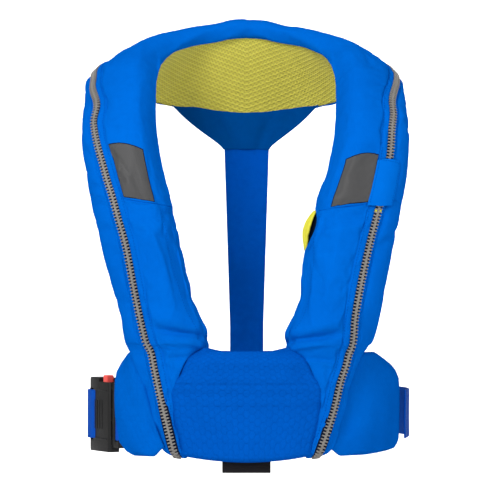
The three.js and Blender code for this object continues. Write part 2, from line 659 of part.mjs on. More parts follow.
const PRONG_LONG = 24;
const PRONG_AT = MALE_TALL / 2 - PRONG_WIDTH / 2;
for (const [name, sign] of [["prong_upper", 1], ["prong_lower", -1]]) {
  const outline = [[0, -2], [PRONG_LONG * 0.3, -2], [PRONG_LONG * 0.45, -PRONG_WIDTH / 2 - 1],
    [PRONG_LONG * 0.9, -PRONG_WIDTH / 2], [PRONG_LONG, 0], [PRONG_LONG * 0.9, PRONG_WIDTH / 2],
    [PRONG_LONG * 0.3, PRONG_WIDTH / 2], [0, 2.6]];
  const prong = prism(outline.map(([x, z]) => [x, sign * z]), MALE_THICK).rotateX(Math.PI / 2);
  prong.translate(BASE_TO + CREASE, MALE_THICK / 2, sign * PRONG_AT);
  add(name, prong, redPlastic, male);
}
add("male_loop", webbingWrap(MALE_THICK, MALE_BAR, BASE_FROM + MALE_BAR / 2), blueWebbing, male);

// ---------- inflator in the lobe with the access window ----------
// Its own frame: X runs to the lobe's outer edge, Z up the lobe, and Y to the wearer.

function lobeGroup(s, u, n) {
  const frame = frameAt(s);
  const up = s > BACK ? frame.along.clone().negate() : frame.along.clone();
  const depth = up.clone().cross(frame.across);
  const group = new THREE.Group();
  const basis = new THREE.Matrix4().makeBasis(frame.across, depth, up);
  group.applyMatrix4(basis.setPosition(place(frame, [u, n])));
  root.add(group);
  return group;
}

const INFLATOR_STATION = 4.7;
const INFLATOR_ACROSS = 42;       // from the neck-side edge
const CYLINDER_SIDE = -4;         // cylinder's axis from the middle of the inflator body
const CORE_ROOM = 3.8;            // shared by the cover's thickness and the air under the inflator
const CORE_HEIGHT = BASE + BLADDER_HEIGHT + CREASE + CYLINDER_RADIUS + CORE_ROOM - COVER_THICK;
const inflator = lobeGroup(INFLATOR_STATION, INFLATOR_ACROSS, CORE_HEIGHT);
const BODY_AT = 34;               // centre of the inflator body above the cylinder's middle
const BODY_FOOT = BODY_AT - INFLATOR_TALL / 2;
const NECK_RADIUS = 5;
const LEVER_AT = [INFLATOR_WIDE / 2 - 5, 0, BODY_AT - 6];
function inflatorBody() {
  const block = prism(roundedRectangle(INFLATOR_WIDE, INFLATOR_DEEP, 4, 3), INFLATOR_TALL);
  block.translate(0, 0, BODY_FOOT);
  const neck = NECK_RADIUS + CREASE;
  const neckBore = turned([[0, -1], [neck, -1], [neck, 12], [0, 12]], 18)
    .translate(CYLINDER_SIDE, 0, BODY_FOOT);
  const firingBore = turned([[0, 10], [FIRING_RADIUS + PIN_PLAY, 10], [FIRING_RADIUS + PIN_PLAY, 27],
    [0, 27]], 12).translate(CYLINDER_SIDE, 0, BODY_FOOT);
  const leverSlot = box(22, LEVER_THICK + 1.4, 30, INFLATOR_WIDE / 2, 0, LEVER_AT[2]);
  const bore = PIN_RADIUS + PIN_PLAY;
  const pinBore = turned([[0, -20], [bore, -20], [bore, 20], [0, 20]], 12)
    .rotateX(Math.PI / 2).translate(...LEVER_AT);
  return cut(block, neckBore, firingBore, leverSlot, pinBore);
}
add("inflator_body", inflatorBody(), blackPlastic, inflator);

const cylinderTop = BODY_FOOT - 1;
const cylinderProfile = [[0, cylinderTop - CYLINDER_LONG], [6, cylinderTop - CYLINDER_LONG],
  [CYLINDER_RADIUS, cylinderTop - CYLINDER_LONG + 6], [CYLINDER_RADIUS, cylinderTop - 12],
  [NECK_RADIUS + 1.5, cylinderTop - 2], [NECK_RADIUS, cylinderTop - 2], [NECK_RADIUS, cylinderTop + 9],
  [0, cylinderTop + 9]];
add("co2_cylinder", turned(cylinderProfile, 24).translate(CYLINDER_SIDE, 0, 0), steel, inflator);

function firingLever() {
  const arm = prism([[-4, -4], [4, -4], [4, 4], [0, 5], [-4, 4]], LEVER_THICK);
  const handle = prism([[-1, -LEVER_LONG], [5, -LEVER_LONG], [6, -2], [0, -2]], LEVER_THICK);
  const hub = turned([[0, -1], [PIN_RADIUS + PIN_PLAY, -1], [PIN_RADIUS + PIN_PLAY, 9], [0, 9]], 12);
  const lever = cut(join(arm, handle), hub);
  return lever.rotateX(Math.PI / 2).translate(0, LEVER_THICK / 2, 0);
}
add("firing_lever", firingLever(), redPlastic, inflator).position.set(...LEVER_AT);
const PIN_LONG = INFLATOR_DEEP - 1;
add("lever_pin", turned([[0, -PIN_LONG / 2], [PIN_RADIUS, -PIN_LONG / 2], [PIN_RADIUS, PIN_LONG / 2],
  [0, PIN_LONG / 2]], 12).rotateX(Math.PI / 2), steel, inflator).position.set(...LEVER_AT);
add("firing_pin", turned([[0, 0], [0.4, 0], [FIRING_RADIUS, 3], [FIRING_RADIUS, 10], [0, 10]], 12)
  .translate(CYLINDER_SIDE, 0, BODY_FOOT + 15), steel, inflator);

const CAP_FOOT = BODY_FOOT + INFLATOR_TALL + CREASE;
const CAP_TALL = 16;
const capProfile = [[0, 0], [CAP_RADIUS - 3, 0], [CAP_RADIUS - 3, 2], [CAP_RADIUS - 4, 2.5],
  [CAP_RADIUS - 4, CAP_TALL - 1], [CAP_RADIUS - 5, CAP_TALL], [0, CAP_TALL]];
const ribs = Array.from({ length: 8 }, (_, i) => box(2.4, 1.8, CAP_TALL - 4, CAP_RADIUS - 4.6, 0,
  CAP_TALL / 2 + 0.6).rotateZ(i * Math.PI / 4));
const cap = join(turned(capProfile, 20), ...ribs).translate(CYLINDER_SIDE, 0, CAP_FOOT);
add("auto_cap", cap, blackPlastic, inflator);
const washerTop = INFLATOR_DEEP / 2 + CREASE;
const washerFoot = CORE_HEIGHT - BASE - BLADDER_HEIGHT - 1.4;
add("seal_washer", turned([[0, washerTop], [10, washerTop], [10, washerFoot], [0, washerFoot]], 20)
  .rotateX(-Math.PI / 2).translate(0, 0, BODY_AT), greyRubber, inflator);

// ---------- oral tube, its valve and the whistle in the other lobe ----------

const ORAL_STATION = HEM_FAR - 4.5;
const ORAL_ACROSS = 30;           // from the neck-side edge
const ORAL_FOOT = -52;            // tube's foot below its station
const oral = lobeGroup(ORAL_STATION, ORAL_ACROSS,
  BASE + BLADDER_HEIGHT + CREASE + ORAL_CAP_RADIUS + 1.8);
const tubeTop = ORAL_FOOT + ORAL_LONG;
add("oral_tube", turned([[ORAL_BORE, ORAL_FOOT], [ORAL_RADIUS, ORAL_FOOT], [ORAL_RADIUS, tubeTop],
  [ORAL_BORE, tubeTop], [ORAL_BORE, ORAL_FOOT]], 16), greyRubber, oral);
const valveFoot = tubeTop + CREASE;
const valveTop = valveFoot + VALVE_LONG;
add("oral_valve", turned([[ORAL_BORE + 1, valveFoot], [VALVE_RADIUS, valveFoot],
  [VALVE_RADIUS, valveTop - 8],
  [ORAL_RADIUS, valveTop - 7], [ORAL_RADIUS, valveTop], [ORAL_BORE + 1, valveTop],
  [ORAL_BORE + 1, valveFoot]], 16), blackPlastic, oral);
add("oral_poppet", turned([[0, valveTop - 11], [ORAL_BORE + 0.6, valveTop - 11],
  [ORAL_BORE + 0.6, valveTop - 8], [1.5, valveTop - 7], [1.5, valveTop - 0.5], [0, valveTop - 0.5]], 14),
  blackPlastic, oral);
const capWall = 1.8;
const capInside = ORAL_RADIUS + 0.5;
add("oral_cap", turned([[0, valveTop + 0.8], [capInside, valveTop + 0.8], [capInside, valveTop - 5],
  [capInside + capWall, valveTop - 5], [capInside + capWall, valveTop + 3], [capInside, valveTop + 4],
  [0, valveTop + 4]], 16), redPlastic, oral);

const WHISTLE_LONG = 42;
const WHISTLE_WIDE = 15;
const WHISTLE_THICK = 9;
const WHISTLE_WALL = 2;
const WHISTLE_AT = [24, 1, -22];
const whistleOuter = roundedRectangle(WHISTLE_WIDE, WHISTLE_LONG, 3, 3);
const whistleBody = prism(whistleOuter, WHISTLE_THICK).rotateX(Math.PI / 2);
whistleBody.translate(0, WHISTLE_THICK / 2, 0);
const chamber = box(WHISTLE_WIDE - 2 * WHISTLE_WALL, WHISTLE_THICK - 1.8 * WHISTLE_WALL,
  WHISTLE_LONG - 3 * WHISTLE_WALL, 0, 0, 4 * WHISTLE_WALL);
add("whistle", cut(whistleBody, chamber).translate(...WHISTLE_AT), yellowFabric, oral);

export default root;
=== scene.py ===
"""Looks of an inflatable horse-collar life jacket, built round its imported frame. Metres, +Z up."""

import functools
import math

import bpy
import numpy as np
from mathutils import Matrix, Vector, noise
from mathutils.bvhtree import BVHTree


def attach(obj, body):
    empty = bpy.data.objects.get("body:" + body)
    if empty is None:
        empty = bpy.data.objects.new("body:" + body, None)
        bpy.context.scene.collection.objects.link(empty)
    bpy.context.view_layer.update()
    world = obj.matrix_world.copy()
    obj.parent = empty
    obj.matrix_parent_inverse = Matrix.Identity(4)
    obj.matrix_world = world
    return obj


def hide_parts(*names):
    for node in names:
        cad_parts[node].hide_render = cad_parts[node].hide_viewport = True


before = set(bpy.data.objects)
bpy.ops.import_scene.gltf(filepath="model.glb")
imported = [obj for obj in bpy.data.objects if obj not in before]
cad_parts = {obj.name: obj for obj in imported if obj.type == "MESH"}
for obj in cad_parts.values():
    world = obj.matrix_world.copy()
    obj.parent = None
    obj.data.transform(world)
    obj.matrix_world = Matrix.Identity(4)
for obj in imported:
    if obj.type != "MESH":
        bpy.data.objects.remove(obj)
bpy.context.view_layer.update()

bl_info = {
    "name": "Inflatable life jacket",
    "version": (1, 0, 0),
    "blender": (4, 5, 0),
    "location": "3D View > Sidebar > Life Jacket",
    "description": "Builds the fabric, zip, webbing and buckle of a worn-shape life jacket",
    "category": "Object",
}

MM = 0.001
FORWARD = np.array((0.0, -1.0, 0.0))    # the way that the jacket faces

# The padded horseshoe, in millimetres, as the frame has it: for each station from the hem to the
# middle of the back, its neck-side edge, its outer edge and its height.
HALF_BAND = (
    ((58.7, -101, -346), (82, -95, -343), 20),
    ((66.4, -100, -294), (94.3, -90, -293), 25),
    ((55.8, -102, -257), (106, -84, -254), 31),
    ((40.4, -104, -234), (120, -76, -232), 38),
    ((54, -100, -181), (134, -71, -178), 42),
    ((67.5, -93, -125), (147, -62, -120), 43),
    ((76.5, -86, -85.5), (156, -53, -77), 42),
    ((88.5, -71, -30), (165, -36, -24), 39),
    ((92, -52, 11), (166, -12, 2), 36),
    ((90.5, -22, 45), (160, 22, 20), 33),
    ((77, 18, 71), (138, 62, 30), 29),
    ((44, 50, 96), (88, 92, 17), 26),
    ((0, 62, 108), (0, 100, 4), 24),
)
# How far the worn cover leans in X from those stations: its neck-side edge, then its outer edge.
LEAN_RIGHT = ((0, 0, 0, -2, -2, -8, -6, -3, -3, -2, 0, 0, 0),
              (0, 0, 0, 1, -2, -2, -3, -6, -12, -9, -6, -2, 0))
LEAN_LEFT = ((0, 0, 0, 3, 1, 1, 1, 2, 2, 1, 0, 0, 0),
             (0, 0, 0, 4, 7, 6, 4, 5, 7, 3, -3, -2, 0))
# The zip's path on either side: stations and its distance from the outer edge there.
ZIP_RIGHT = ((0, 0.9, 1.53, 2.06, 2.7, 3.54, 4.2, 4.82, 5.6, 6.5, 7.0, 7.34, 7.64, 8.26, 8.8, 10, 12),
             (15.8, 14.4, 17, 17.4, 24.5, 35, 35.8, 35.6, 34.1, 30.5, 29.8, 26, 27.8, 21, 18, 15, 13))
ZIP_LEFT = ((0, 0.47, 1.59, 2.4, 3.26, 4.05, 4.78, 5.77, 6.44, 6.76, 7.14, 7.57, 8.17, 8.63, 9.3, 10, 12),
            (16.3, 17.6, 22.6, 27, 32.1, 33.1, 36.6, 35.5, 30.1, 25, 20.8, 27.5, 19.6, 22, 17, 15, 13))
BACK = len(HALF_BAND) - 1
FAR_HEM = 2 * BACK
BASE = 3.4                 # where the padding starts above the body side
ROUND_ACROSS = 0.75
ROUND_UP = 0.6
TORSO = (146, 108, 2.3)    # half width, half depth and squareness of the torso


# ---------- geometry of the horseshoe ----------

def mirrored(point):
    return (-point[0], point[1], point[2])


def whole(index):
    half = [station[index] for station in HALF_BAND]
    points = np.array(half + [mirrored(p) for p in half[-2::-1]], float)
    points[:, 0] += np.array(LEAN_RIGHT[index] + LEAN_LEFT[index][-2::-1])
    return points


INNER, OUTER = whole(0), whole(1)


def curve_point(points, t):
    """Centripetal Catmull-Rom through the stations, as the frame's solids use."""
    i = min(int(t), len(points) - 2)
    f = t - i
    p1, p2 = points[i], points[i + 1]
    p0 = points[i - 1] if i > 0 else 2 * p1 - p2
    p3 = points[i + 2] if i + 2 < len(points) else 2 * p2 - p1
    d0, d1, d2 = (np.linalg.norm(b - a) ** 0.5 for a, b in ((p0, p1), (p1, p2), (p2, p3)))
    m1 = ((p1 - p0) / d0 - (p2 - p0) / (d0 + d1) + (p2 - p1) / d1) * d1
    m2 = ((p2 - p1) / d1 - (p3 - p1) / (d1 + d2) + (p3 - p2) / d2) * d1
    return p1 + m1 * f + (3 * (p2 - p1) - 2 * m1 - m2) * f ** 2 + (2 * (p1 - p2) + m1 + m2) * f ** 3


def from_hem(s):
    """Stations from the nearer hem: the two lobes count up from it to the middle of the back."""
    return min(s, FAR_HEM - s)


def listed(values, s):
    near = from_hem(s)
    low = min(int(near), BACK - 1)
    return values[low] * (low + 1 - near) + values[low + 1] * (near - low)


HEIGHTS = tuple(station[2] for station in HALF_BAND)


def unit(v):
    return v / np.linalg.norm(v)


class Band:
    """The band's own axes at a station: across to the outer edge and out of the padding."""

    def __init__(self, s):
        self.start = curve_point(INNER, s)
        across = curve_point(OUTER, s) - self.start
        self.width = np.linalg.norm(across)
        self.across = across / self.width
        a, b = max(s - 0.02, 0), min(s + 0.02, FAR_HEM)
        run = (curve_point(INNER, b) + curve_point(OUTER, b)
               - curve_point(INNER, a) - curve_point(OUTER, a))
        self.out = unit(np.cross(self.across, unit(run)))
        self.height = listed(HEIGHTS, s)
        path = ZIP_RIGHT if s <= BACK else ZIP_LEFT
        around = from_hem(s) + np.linspace(-0.16, 0.16, 9)
        self.zip = self.width - float(np.mean(np.interp(around, *path)))

    def at(self, u, n):
        return self.start + self.across * u + self.out * n


@functools.lru_cache(maxsize=None)
def band_at(s):
    return Band(s)


def torso_point(phi, n):
    """A point round the torso: phi runs from the front, n is the distance off the torso."""
    wide, deep, square = TORSO

    def power(value, p):
        return math.copysign(abs(value) ** p, value)

    x, y = wide * power(math.sin(phi), 2 / square), -deep * power(math.cos(phi), 2 / square)
    nx, ny = power(x / wide, square - 1) / wide, power(y / deep, square - 1) / deep
    size = math.hypot(nx, ny)
    return np.array((x + n * nx / size, y + n * ny / size))


def smooth(edge0, edge1, x):
    t = min(1.0, max(0.0, (x - edge0) / (edge1 - edge0)))
    return t * t * (3 - 2 * t)


# ---------- small mesh tools ----------

def new_object(name, vertices, faces):
    """A mesh object in metres from points in millimetres."""
    mesh = bpy.data.meshes.new(name)
    mesh.from_pydata([tuple(MM * c for c in v) for v in vertices], [], faces)
    mesh.validate()
    obj = bpy.data.objects.new(name, mesh)
    bpy.context.scene.collection.objects.link(obj)
    return obj


def sheet_object(name, rows, columns, points, uvs):
    """A grid of rows by columns whose points are set in millimetres, with its own cloth map."""
    bpy.ops.object.select_all(action="DESELECT")
    bpy.ops.mesh.primitive_grid_add(x_subdivisions=columns - 1, y_subdivisions=rows - 1, size=2)
    obj = bpy.context.object
    obj.name = obj.data.name = name
    if len(obj.data.vertices) != rows * columns:
        raise RuntimeError(f"{name}: the grid has {len(obj.data.vertices)} points, not {rows * columns}")
    obj.data.vertices.foreach_set("co", (np.asarray(points, float) * MM).ravel())
    while obj.data.uv_layers:
        obj.data.uv_layers.remove(obj.data.uv_layers[0])
    layer_map = obj.data.uv_layers.new(name="cloth")
    order = np.empty(len(obj.data.loops), int)
    obj.data.loops.foreach_get("vertex_index", order)
    layer_map.data.foreach_set("uv", (np.asarray(uvs, float)[order] * MM).ravel())
    obj.data.update()
    return obj


def select_vertices(obj, indices):
    only(obj)
    bpy.context.tool_settings.mesh_select_mode = (True, False, False)
    wanted = set(indices)
    flags = [i in wanted for i in range(len(obj.data.vertices))]
    for polygon in obj.data.polygons:
        polygon.select = False
    for edge in obj.data.edges:
        edge.select = flags[edge.vertices[0]] and flags[edge.vertices[1]]
    obj.data.vertices.foreach_set("select", flags)


def join(objects):
    bpy.ops.object.select_all(action="DESELECT")
    for obj in objects:
        obj.select_set(True)
    bpy.context.view_layer.objects.active = objects[0]
    bpy.ops.object.join()
    return objects[0]


def only(obj):
    bpy.ops.object.select_all(action="DESELECT")
    obj.select_set(True)
    bpy.context.view_layer.objects.active = obj


def apply_modifier(obj, kind, name="step", **settings):
    only(obj)
    modifier = obj.modifiers.new(name, kind)
    for key, value in settings.items():
        setattr(modifier, key, value)
    bpy.ops.object.modifier_apply(modifier=name)


def shade_smooth(obj, angle=180):
    only(obj)
    if angle >= 180:
        bpy.ops.object.shade_smooth()
    else:
        bpy.ops.object.shade_smooth_by_angle(angle=math.radians(angle))


def face_outwards(obj):
    only(obj)
    bpy.ops.object.mode_set(mode="EDIT")
    bpy.ops.mesh.select_all(action="SELECT")
    bpy.ops.mesh.remove_doubles(threshold=1e-6)
    bpy.ops.mesh.normals_make_consistent(inside=False)
    bpy.ops.object.mode_set(mode="OBJECT")


def flip_faces(obj):
    only(obj)
    bpy.ops.object.mode_set(mode="EDIT")
    bpy.ops.mesh.select_all(action="SELECT")
    bpy.ops.mesh.flip_normals()
    bpy.ops.object.mode_set(mode="OBJECT")


def taken_shape(obj):
    """The points and faces of a small pattern piece, which is then removed."""
    coordinates = np.array([v.co[:] for v in obj.data.vertices])
    faces = [tuple(p.vertices) for p in obj.data.polygons]
    bpy.data.objects.remove(obj)
    return coordinates, faces


def distances_along(points):
    """Distance along a polyline at each of its points."""
    steps = np.linalg.norm(np.diff(points, axis=0), axis=1)
    return np.concatenate(([0.0], np.cumsum(steps)))


def finish_piece(obj, slot, body, *nodes):
    """Gives a finished piece its body, and lets it stand for its nodes; slot is not used."""
    if nodes:
        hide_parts(*nodes)
    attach(obj, body)


CLOTH_MASS, CLOTH_DAMPING = 0.25, 4
CLOTH_STRETCH, CLOTH_SHEAR, CLOTH_BEND = 12, 4, 0.08
STILL = 1e-12              # a move under this many metres counts as none


def puff(obj, pinned, pressure, growth, cap, frames=22, quality=6):
    """Blows the cloth up between its pinned points, and applies the result within a cap."""
    start = np.empty(len(obj.data.vertices) * 3)
    obj.data.vertices.foreach_get("co", start)
    start = start.reshape(-1, 3)
    group = obj.vertex_groups.new(name="pinned")
    group.add([i for i, held in enumerate(pinned) if held], 1.0, "REPLACE")
    only(obj)
    cloth = obj.modifiers.new("cloth", "CLOTH")
    s = cloth.settings
    s.quality = quality
    s.mass = CLOTH_MASS
    s.tension_stiffness = s.compression_stiffness = CLOTH_STRETCH
    s.shear_stiffness = CLOTH_SHEAR
    s.bending_stiffness = CLOTH_BEND
    s.air_damping = CLOTH_DAMPING
    s.vertex_group_mass = "pinned"
    s.use_pressure = True
    s.uniform_pressure_force = pressure
    s.shrink_min = -growth
    s.effector_weights.gravity = 0
    cloth.collision_settings.use_collision = False
    cloth.point_cache.frame_start = 1
    cloth.point_cache.frame_end = frames
    scene = bpy.context.scene
    for number in range(1, frames + 1):
        scene.frame_set(number)
    bpy.ops.object.modifier_apply(modifier="cloth")
    scene.frame_set(1)
    moved = np.empty(len(start) * 3)
    obj.data.vertices.foreach_get("co", moved)
    moved = moved.reshape(-1, 3)
    step = np.nan_to_num(moved - start)
    size = np.linalg.norm(step, axis=1, keepdims=True)
    limit = cap * MM
    capped = limit * np.tanh(size / limit) / np.maximum(size, STILL)
    step *= np.where(size > STILL, np.minimum(1, capped), 0)
    obj.data.vertices.foreach_set("co", (start + step).ravel())
    obj.data.update()
    obj.vertex_groups.clear()


# ---------- materials ----------

def group_tree(name, inputs, outputs):
    tree = bpy.data.node_groups.new(name, "ShaderNodeTree")
    for label, kind, default in inputs:
        socket = tree.interface.new_socket(name=label, in_out="INPUT", socket_type=kind)
        if default is not None:
            socket.default_value = default
    for label, kind in outputs:
        tree.interface.new_socket(name=label, in_out="OUTPUT", socket_type=kind)
    return tree, tree.nodes.new("NodeGroupInput"), tree.nodes.new("NodeGroupOutput")


class Wires:
    """Short hand for a node tree: makes nodes and links them."""

    def __init__(self, tree):
        self.tree = tree

    def node(self, kind, **settings):
        made = self.tree.nodes.new(kind)
        for key, value in settings.items():
            setattr(made, key, value)
        return made

    def link(self, source, target):
        self.tree.links.new(source, target)

    def feed(self, socket, value):
        if isinstance(value, bpy.types.NodeSocket):
            self.link(value, socket)
        elif value is not None:
            socket.default_value = value

    def math(self, operation, a, b=None, c=None):
        made = self.node("ShaderNodeMath", operation=operation)
        for socket, value in zip(made.inputs, (a, b, c)):
            self.feed(socket, value)
        return made.outputs[0]

    def vector(self, operation, a, b=None):
        made = self.node("ShaderNodeVectorMath", operation=operation)
        self.feed(made.inputs[0], a)
        self.feed(made.inputs[1], b)
        return made.outputs[0]

    def split(self, vector):
        made = self.node("ShaderNodeSeparateXYZ")
        self.link(vector, made.inputs[0])
        return made.outputs

    def join(self, x, y, z=0.0):
        made = self.node("ShaderNodeCombineXYZ")
        for socket, value in zip(made.inputs, (x, y, z)):
            self.feed(socket, value)
        return made.outputs[0]

    def noise(self, vector, scale, detail=3.0, roughness=0.55):
        made = self.node("ShaderNodeTexNoise")
        self.link(vector, made.inputs["Vector"])
        for label, value in (("Scale", scale), ("Detail", detail), ("Roughness", roughness)):
            self.feed(made.inputs[label], value)
        return made.outputs["Fac"]

    def ramp(self, value, low, high, to_low=0.0, to_high=1.0):
        made = self.node("ShaderNodeMapRange", interpolation_type="SMOOTHSTEP")
        for socket, item in zip(made.inputs, (value, low, high, to_low, to_high)):
            self.feed(socket, item)
        return made.outputs[0]

    def mix(self, factor, a, b):
        made = self.node("ShaderNodeMix", data_type="RGBA")
        self.feed(made.inputs[0], factor)
        self.feed(made.inputs[6], a)
        self.feed(made.inputs[7], b)
        return made.outputs[2]


def weave_group():
    """Plain weave: crossing threads of a given pitch."""
    tree, start, end = group_tree("thread_weave", [
        ("Vector", "NodeSocketVector", None), ("Pitch", "NodeSocketFloat", 0.0006)],
        [("Height", "NodeSocketFloat")])
    w = Wires(tree)
    turn = w.math("DIVIDE", 2 * math.pi, start.outputs["Pitch"])
    x, y, _ = w.split(start.outputs["Vector"])
    across = w.math("SINE", w.math("MULTIPLY", x, turn))
    along = w.math("SINE", w.math("MULTIPLY", y, turn))
    product = w.math("MULTIPLY", across, along)
    w.link(w.math("MULTIPLY_ADD", product, 0.5, 0.5), end.inputs["Height"])
    return tree


def hexagon_group():
    """Distance from the middle of a hexagonal cell: 0 at its middle and 1 on its edges."""
    tree, start, end = group_tree("hexagon_cells", [
        ("Vector", "NodeSocketVector", None), ("Pitch", "NodeSocketFloat", 0.006)],
        [("Edge", "NodeSocketFloat")])
    w = Wires(tree)
    x, y, _ = w.split(start.outputs["Vector"])
    px = w.math("DIVIDE", x, start.outputs["Pitch"])
    py = w.math("DIVIDE", y, start.outputs["Pitch"])
    tall = math.sqrt(3)

    def cell(shift):
        ax = w.math("SUBTRACT", w.math("FLOORED_MODULO", w.math("SUBTRACT", px, shift * 0.5), 1.0), 0.5)
        ay = w.math("SUBTRACT", w.math("FLOORED_MODULO", w.math("SUBTRACT", py, shift * tall / 2), tall),
                    tall / 2)
        ax, ay = w.math("ABSOLUTE", ax), w.math("ABSOLUTE", ay)
        slant = w.math("ADD", w.math("MULTIPLY", ax, 0.5), w.math("MULTIPLY", ay, tall / 2))
        return w.math("MAXIMUM", ax, slant)

    nearest = w.math("MINIMUM", cell(0), cell(1))
    w.link(w.math("MULTIPLY", nearest, 2.0), end.inputs["Edge"])
    return tree


def worn_group():
    """Slow change of tone over a cloth or plastic surface."""
    tree, start, end = group_tree("tone_drift", [
        ("Vector", "NodeSocketVector", None), ("Color", "NodeSocketColor", None),
        ("Shade", "NodeSocketColor", None), ("Amount", "NodeSocketFloat", 0.3)],
        [("Color", "NodeSocketColor"), ("Mask", "NodeSocketFloat")])
    w = Wires(tree)
    broad = w.noise(start.outputs["Vector"], 14.0, 3.0)
    fine = w.noise(start.outputs["Vector"], 160.0, 2.0)
    both = w.math("MULTIPLY_ADD", fine, 0.35, w.math("MULTIPLY", broad, 0.65))
    mask = w.ramp(both, 0.35, 0.65)
    factor = w.math("MULTIPLY", mask, start.outputs["Amount"])
    w.link(w.mix(factor, start.outputs["Color"], start.outputs["Shade"]), end.inputs["Color"])
    w.link(mask, end.inputs["Mask"])
    return tree


class Finish:
    """A material with a Principled shader; height and colour are built by its caller."""

    groups = {}

    def __init__(self, name, roughness, metallic=0.0, sheen=0.0, specular=0.5, uv=False):
        self.material = bpy.data.materials.new(name)
        self.material.use_nodes = True
        tree = self.material.node_tree
        tree.nodes.clear()
        self.w = Wires(tree)
        self.shader = self.w.node("ShaderNodeBsdfPrincipled")
        out = self.w.node("ShaderNodeOutputMaterial")
        self.w.link(self.shader.outputs[0], out.inputs[0])
        self.shader.inputs["Roughness"].default_value = roughness
        self.shader.inputs["Metallic"].default_value = metallic
        self.shader.inputs["Sheen Weight"].default_value = sheen
        self.shader.inputs["Specular IOR Level"].default_value = specular
        if uv:
            self.place = self.w.node("ShaderNodeUVMap", uv_map="cloth").outputs[0]
        else:
            self.place = self.w.node("ShaderNodeTexCoord").outputs["Object"]
        self.object_place = self.w.node("ShaderNodeTexCoord").outputs["Object"]

    def group(self, maker, **values):
        if maker.__name__ not in Finish.groups:
            Finish.groups[maker.__name__] = maker()
        made = self.w.node("ShaderNodeGroup")
        made.node_tree = Finish.groups[maker.__name__]
        for label, value in values.items():
            self.w.feed(made.inputs[label], value)
        return made.outputs

    def tone(self, color, shade, amount=0.35):
        drift = self.group(worn_group, Vector=self.object_place, Color=(*color, 1), Shade=(*shade, 1),
                           Amount=amount)
        self.w.link(drift["Color"], self.shader.inputs["Base Color"])
        return drift

    def bump(self, height, distance, strength=1.0):
        made = self.w.node("ShaderNodeBump")
        made.inputs["Strength"].default_value = strength
        made.inputs["Distance"].default_value = distance
        self.w.link(height, made.inputs["Height"])
        self.w.link(made.outputs[0], self.shader.inputs["Normal"])

    def color(self, value):
        self.w.feed(self.shader.inputs["Base Color"], value)

    def rough(self, value):
        self.w.feed(self.shader.inputs["Roughness"], value)


def tinted(color, share):
    return tuple(share * c for c in color)


def fabric_finish(name, color, shade, hexes=0.0, pitch=0.0007, roughness=0.62, lines=0.0):
    """Woven nylon with a ripstop grid and, where wanted, embossed hexagons with painted shade in their
    grooves.
    """
    f = Finish(name, roughness, specular=0.0, uv=True)
    w = f.w
    weave = f.group(weave_group, Vector=f.place, Pitch=pitch)
    drift = f.tone(color, shade, 0.45)
    height = w.math("MULTIPLY", weave["Height"], 0.35)
    x, y, _ = w.split(f.place)
    if lines > 0:
        turn = 2 * math.pi / lines
        rib_x = w.ramp(w.math("COSINE", w.math("MULTIPLY", x, turn)), 0.93, 1.0)
        rib_y = w.ramp(w.math("COSINE", w.math("MULTIPLY", y, turn)), 0.93, 1.0)
        height = w.math("MULTIPLY_ADD", w.math("MAXIMUM", rib_x, rib_y), 0.5, height)
    if hexes > 0:
        cells = f.group(hexagon_group, Vector=f.place, Pitch=hexes)
        edge = w.ramp(cells["Edge"], 0.72, 0.98)
        height = w.math("MULTIPLY_ADD", edge, -1.2, height)
        # Painted shade: the colour darkens towards the shade colour along the hexagons' grooves.
        groove_shade = w.math("MULTIPLY", edge, 0.28)
        f.color(w.mix(groove_shade, drift["Color"], (*shade, 1)))
    f.rough(w.math("MULTIPLY_ADD", drift["Mask"], 0.08, roughness))
    f.bump(height, 0.00025)
    return f.material


MESH_HOLE, MESH_ROW = 0.0026, 0.0045    # pitch of the spacer mesh's holes and of its rows, in metres


def mesh_finish():
    """Spacer mesh: rows of small oval holes that meet in a chevron at the middle, with painted shade in the
    holes and along the rows.
    """
    f = Finish("spacer_mesh", 0.72, sheen=0.1, specular=0.25, uv=True)
    w = f.w
    x, y, _ = w.split(f.place)
    rise = w.math("MULTIPLY_ADD", w.math("ABSOLUTE", x), 0.42, y)
    bent = w.join(w.math("MULTIPLY", x, 0.8), rise)
    cells = f.group(hexagon_group, Vector=bent, Pitch=MESH_HOLE)
    hole = w.ramp(cells["Edge"], 0.34, 0.66, 1.0, 0.0)
    row = w.math("MULTIPLY_ADD", w.math("SINE", w.math("MULTIPLY", rise, 2 * math.pi / MESH_ROW)), 0.5, 0.5)
    drift = f.tone((0.60, 0.55, 0.075), (0.46, 0.42, 0.05), 0.5)
    # Painted shade: the holes and the grooves between the rows are darkened.
    dark = w.math("MULTIPLY_ADD", row, 0.35, w.math("MULTIPLY", hole, 0.4))
    f.color(w.mix(dark, drift["Color"], (0.27, 0.24, 0.03, 1)))
    knit = f.group(weave_group, Vector=f.place, Pitch=0.0009)
    height = w.math("SUBTRACT", w.math("MULTIPLY", knit["Height"], 0.25),
                    w.math("MULTIPLY_ADD", row, 0.9, hole))
    f.bump(height, 0.0007)
    return f.material


def webbing_finish(name, color, shade, pitch=0.0016):
    """Ribbed webbing: ribs across its length, finer threads along it, and painted shade between the ribs.
    """
    f = Finish(name, 0.7, specular=0.08, uv=True)
    w = f.w
    x, y, _ = w.split(f.place)
    rib = w.math("ABSOLUTE", w.math("SINE", w.math("MULTIPLY", x, math.pi / pitch)))
    thread = w.math("SINE", w.math("MULTIPLY", y, 2 * math.pi / 0.0012))
    height = w.math("MULTIPLY_ADD", thread, 0.15, rib)
    drift = f.tone(color, shade, 0.4)
    # Painted shade: the grooves between the ribs are darkened.
    f.color(w.mix(w.ramp(rib, 0.0, 0.35, 0.55, 0.0), drift["Color"], (*tinted(shade, 0.35), 1)))
    f.bump(height, 0.0005)
    return f.material


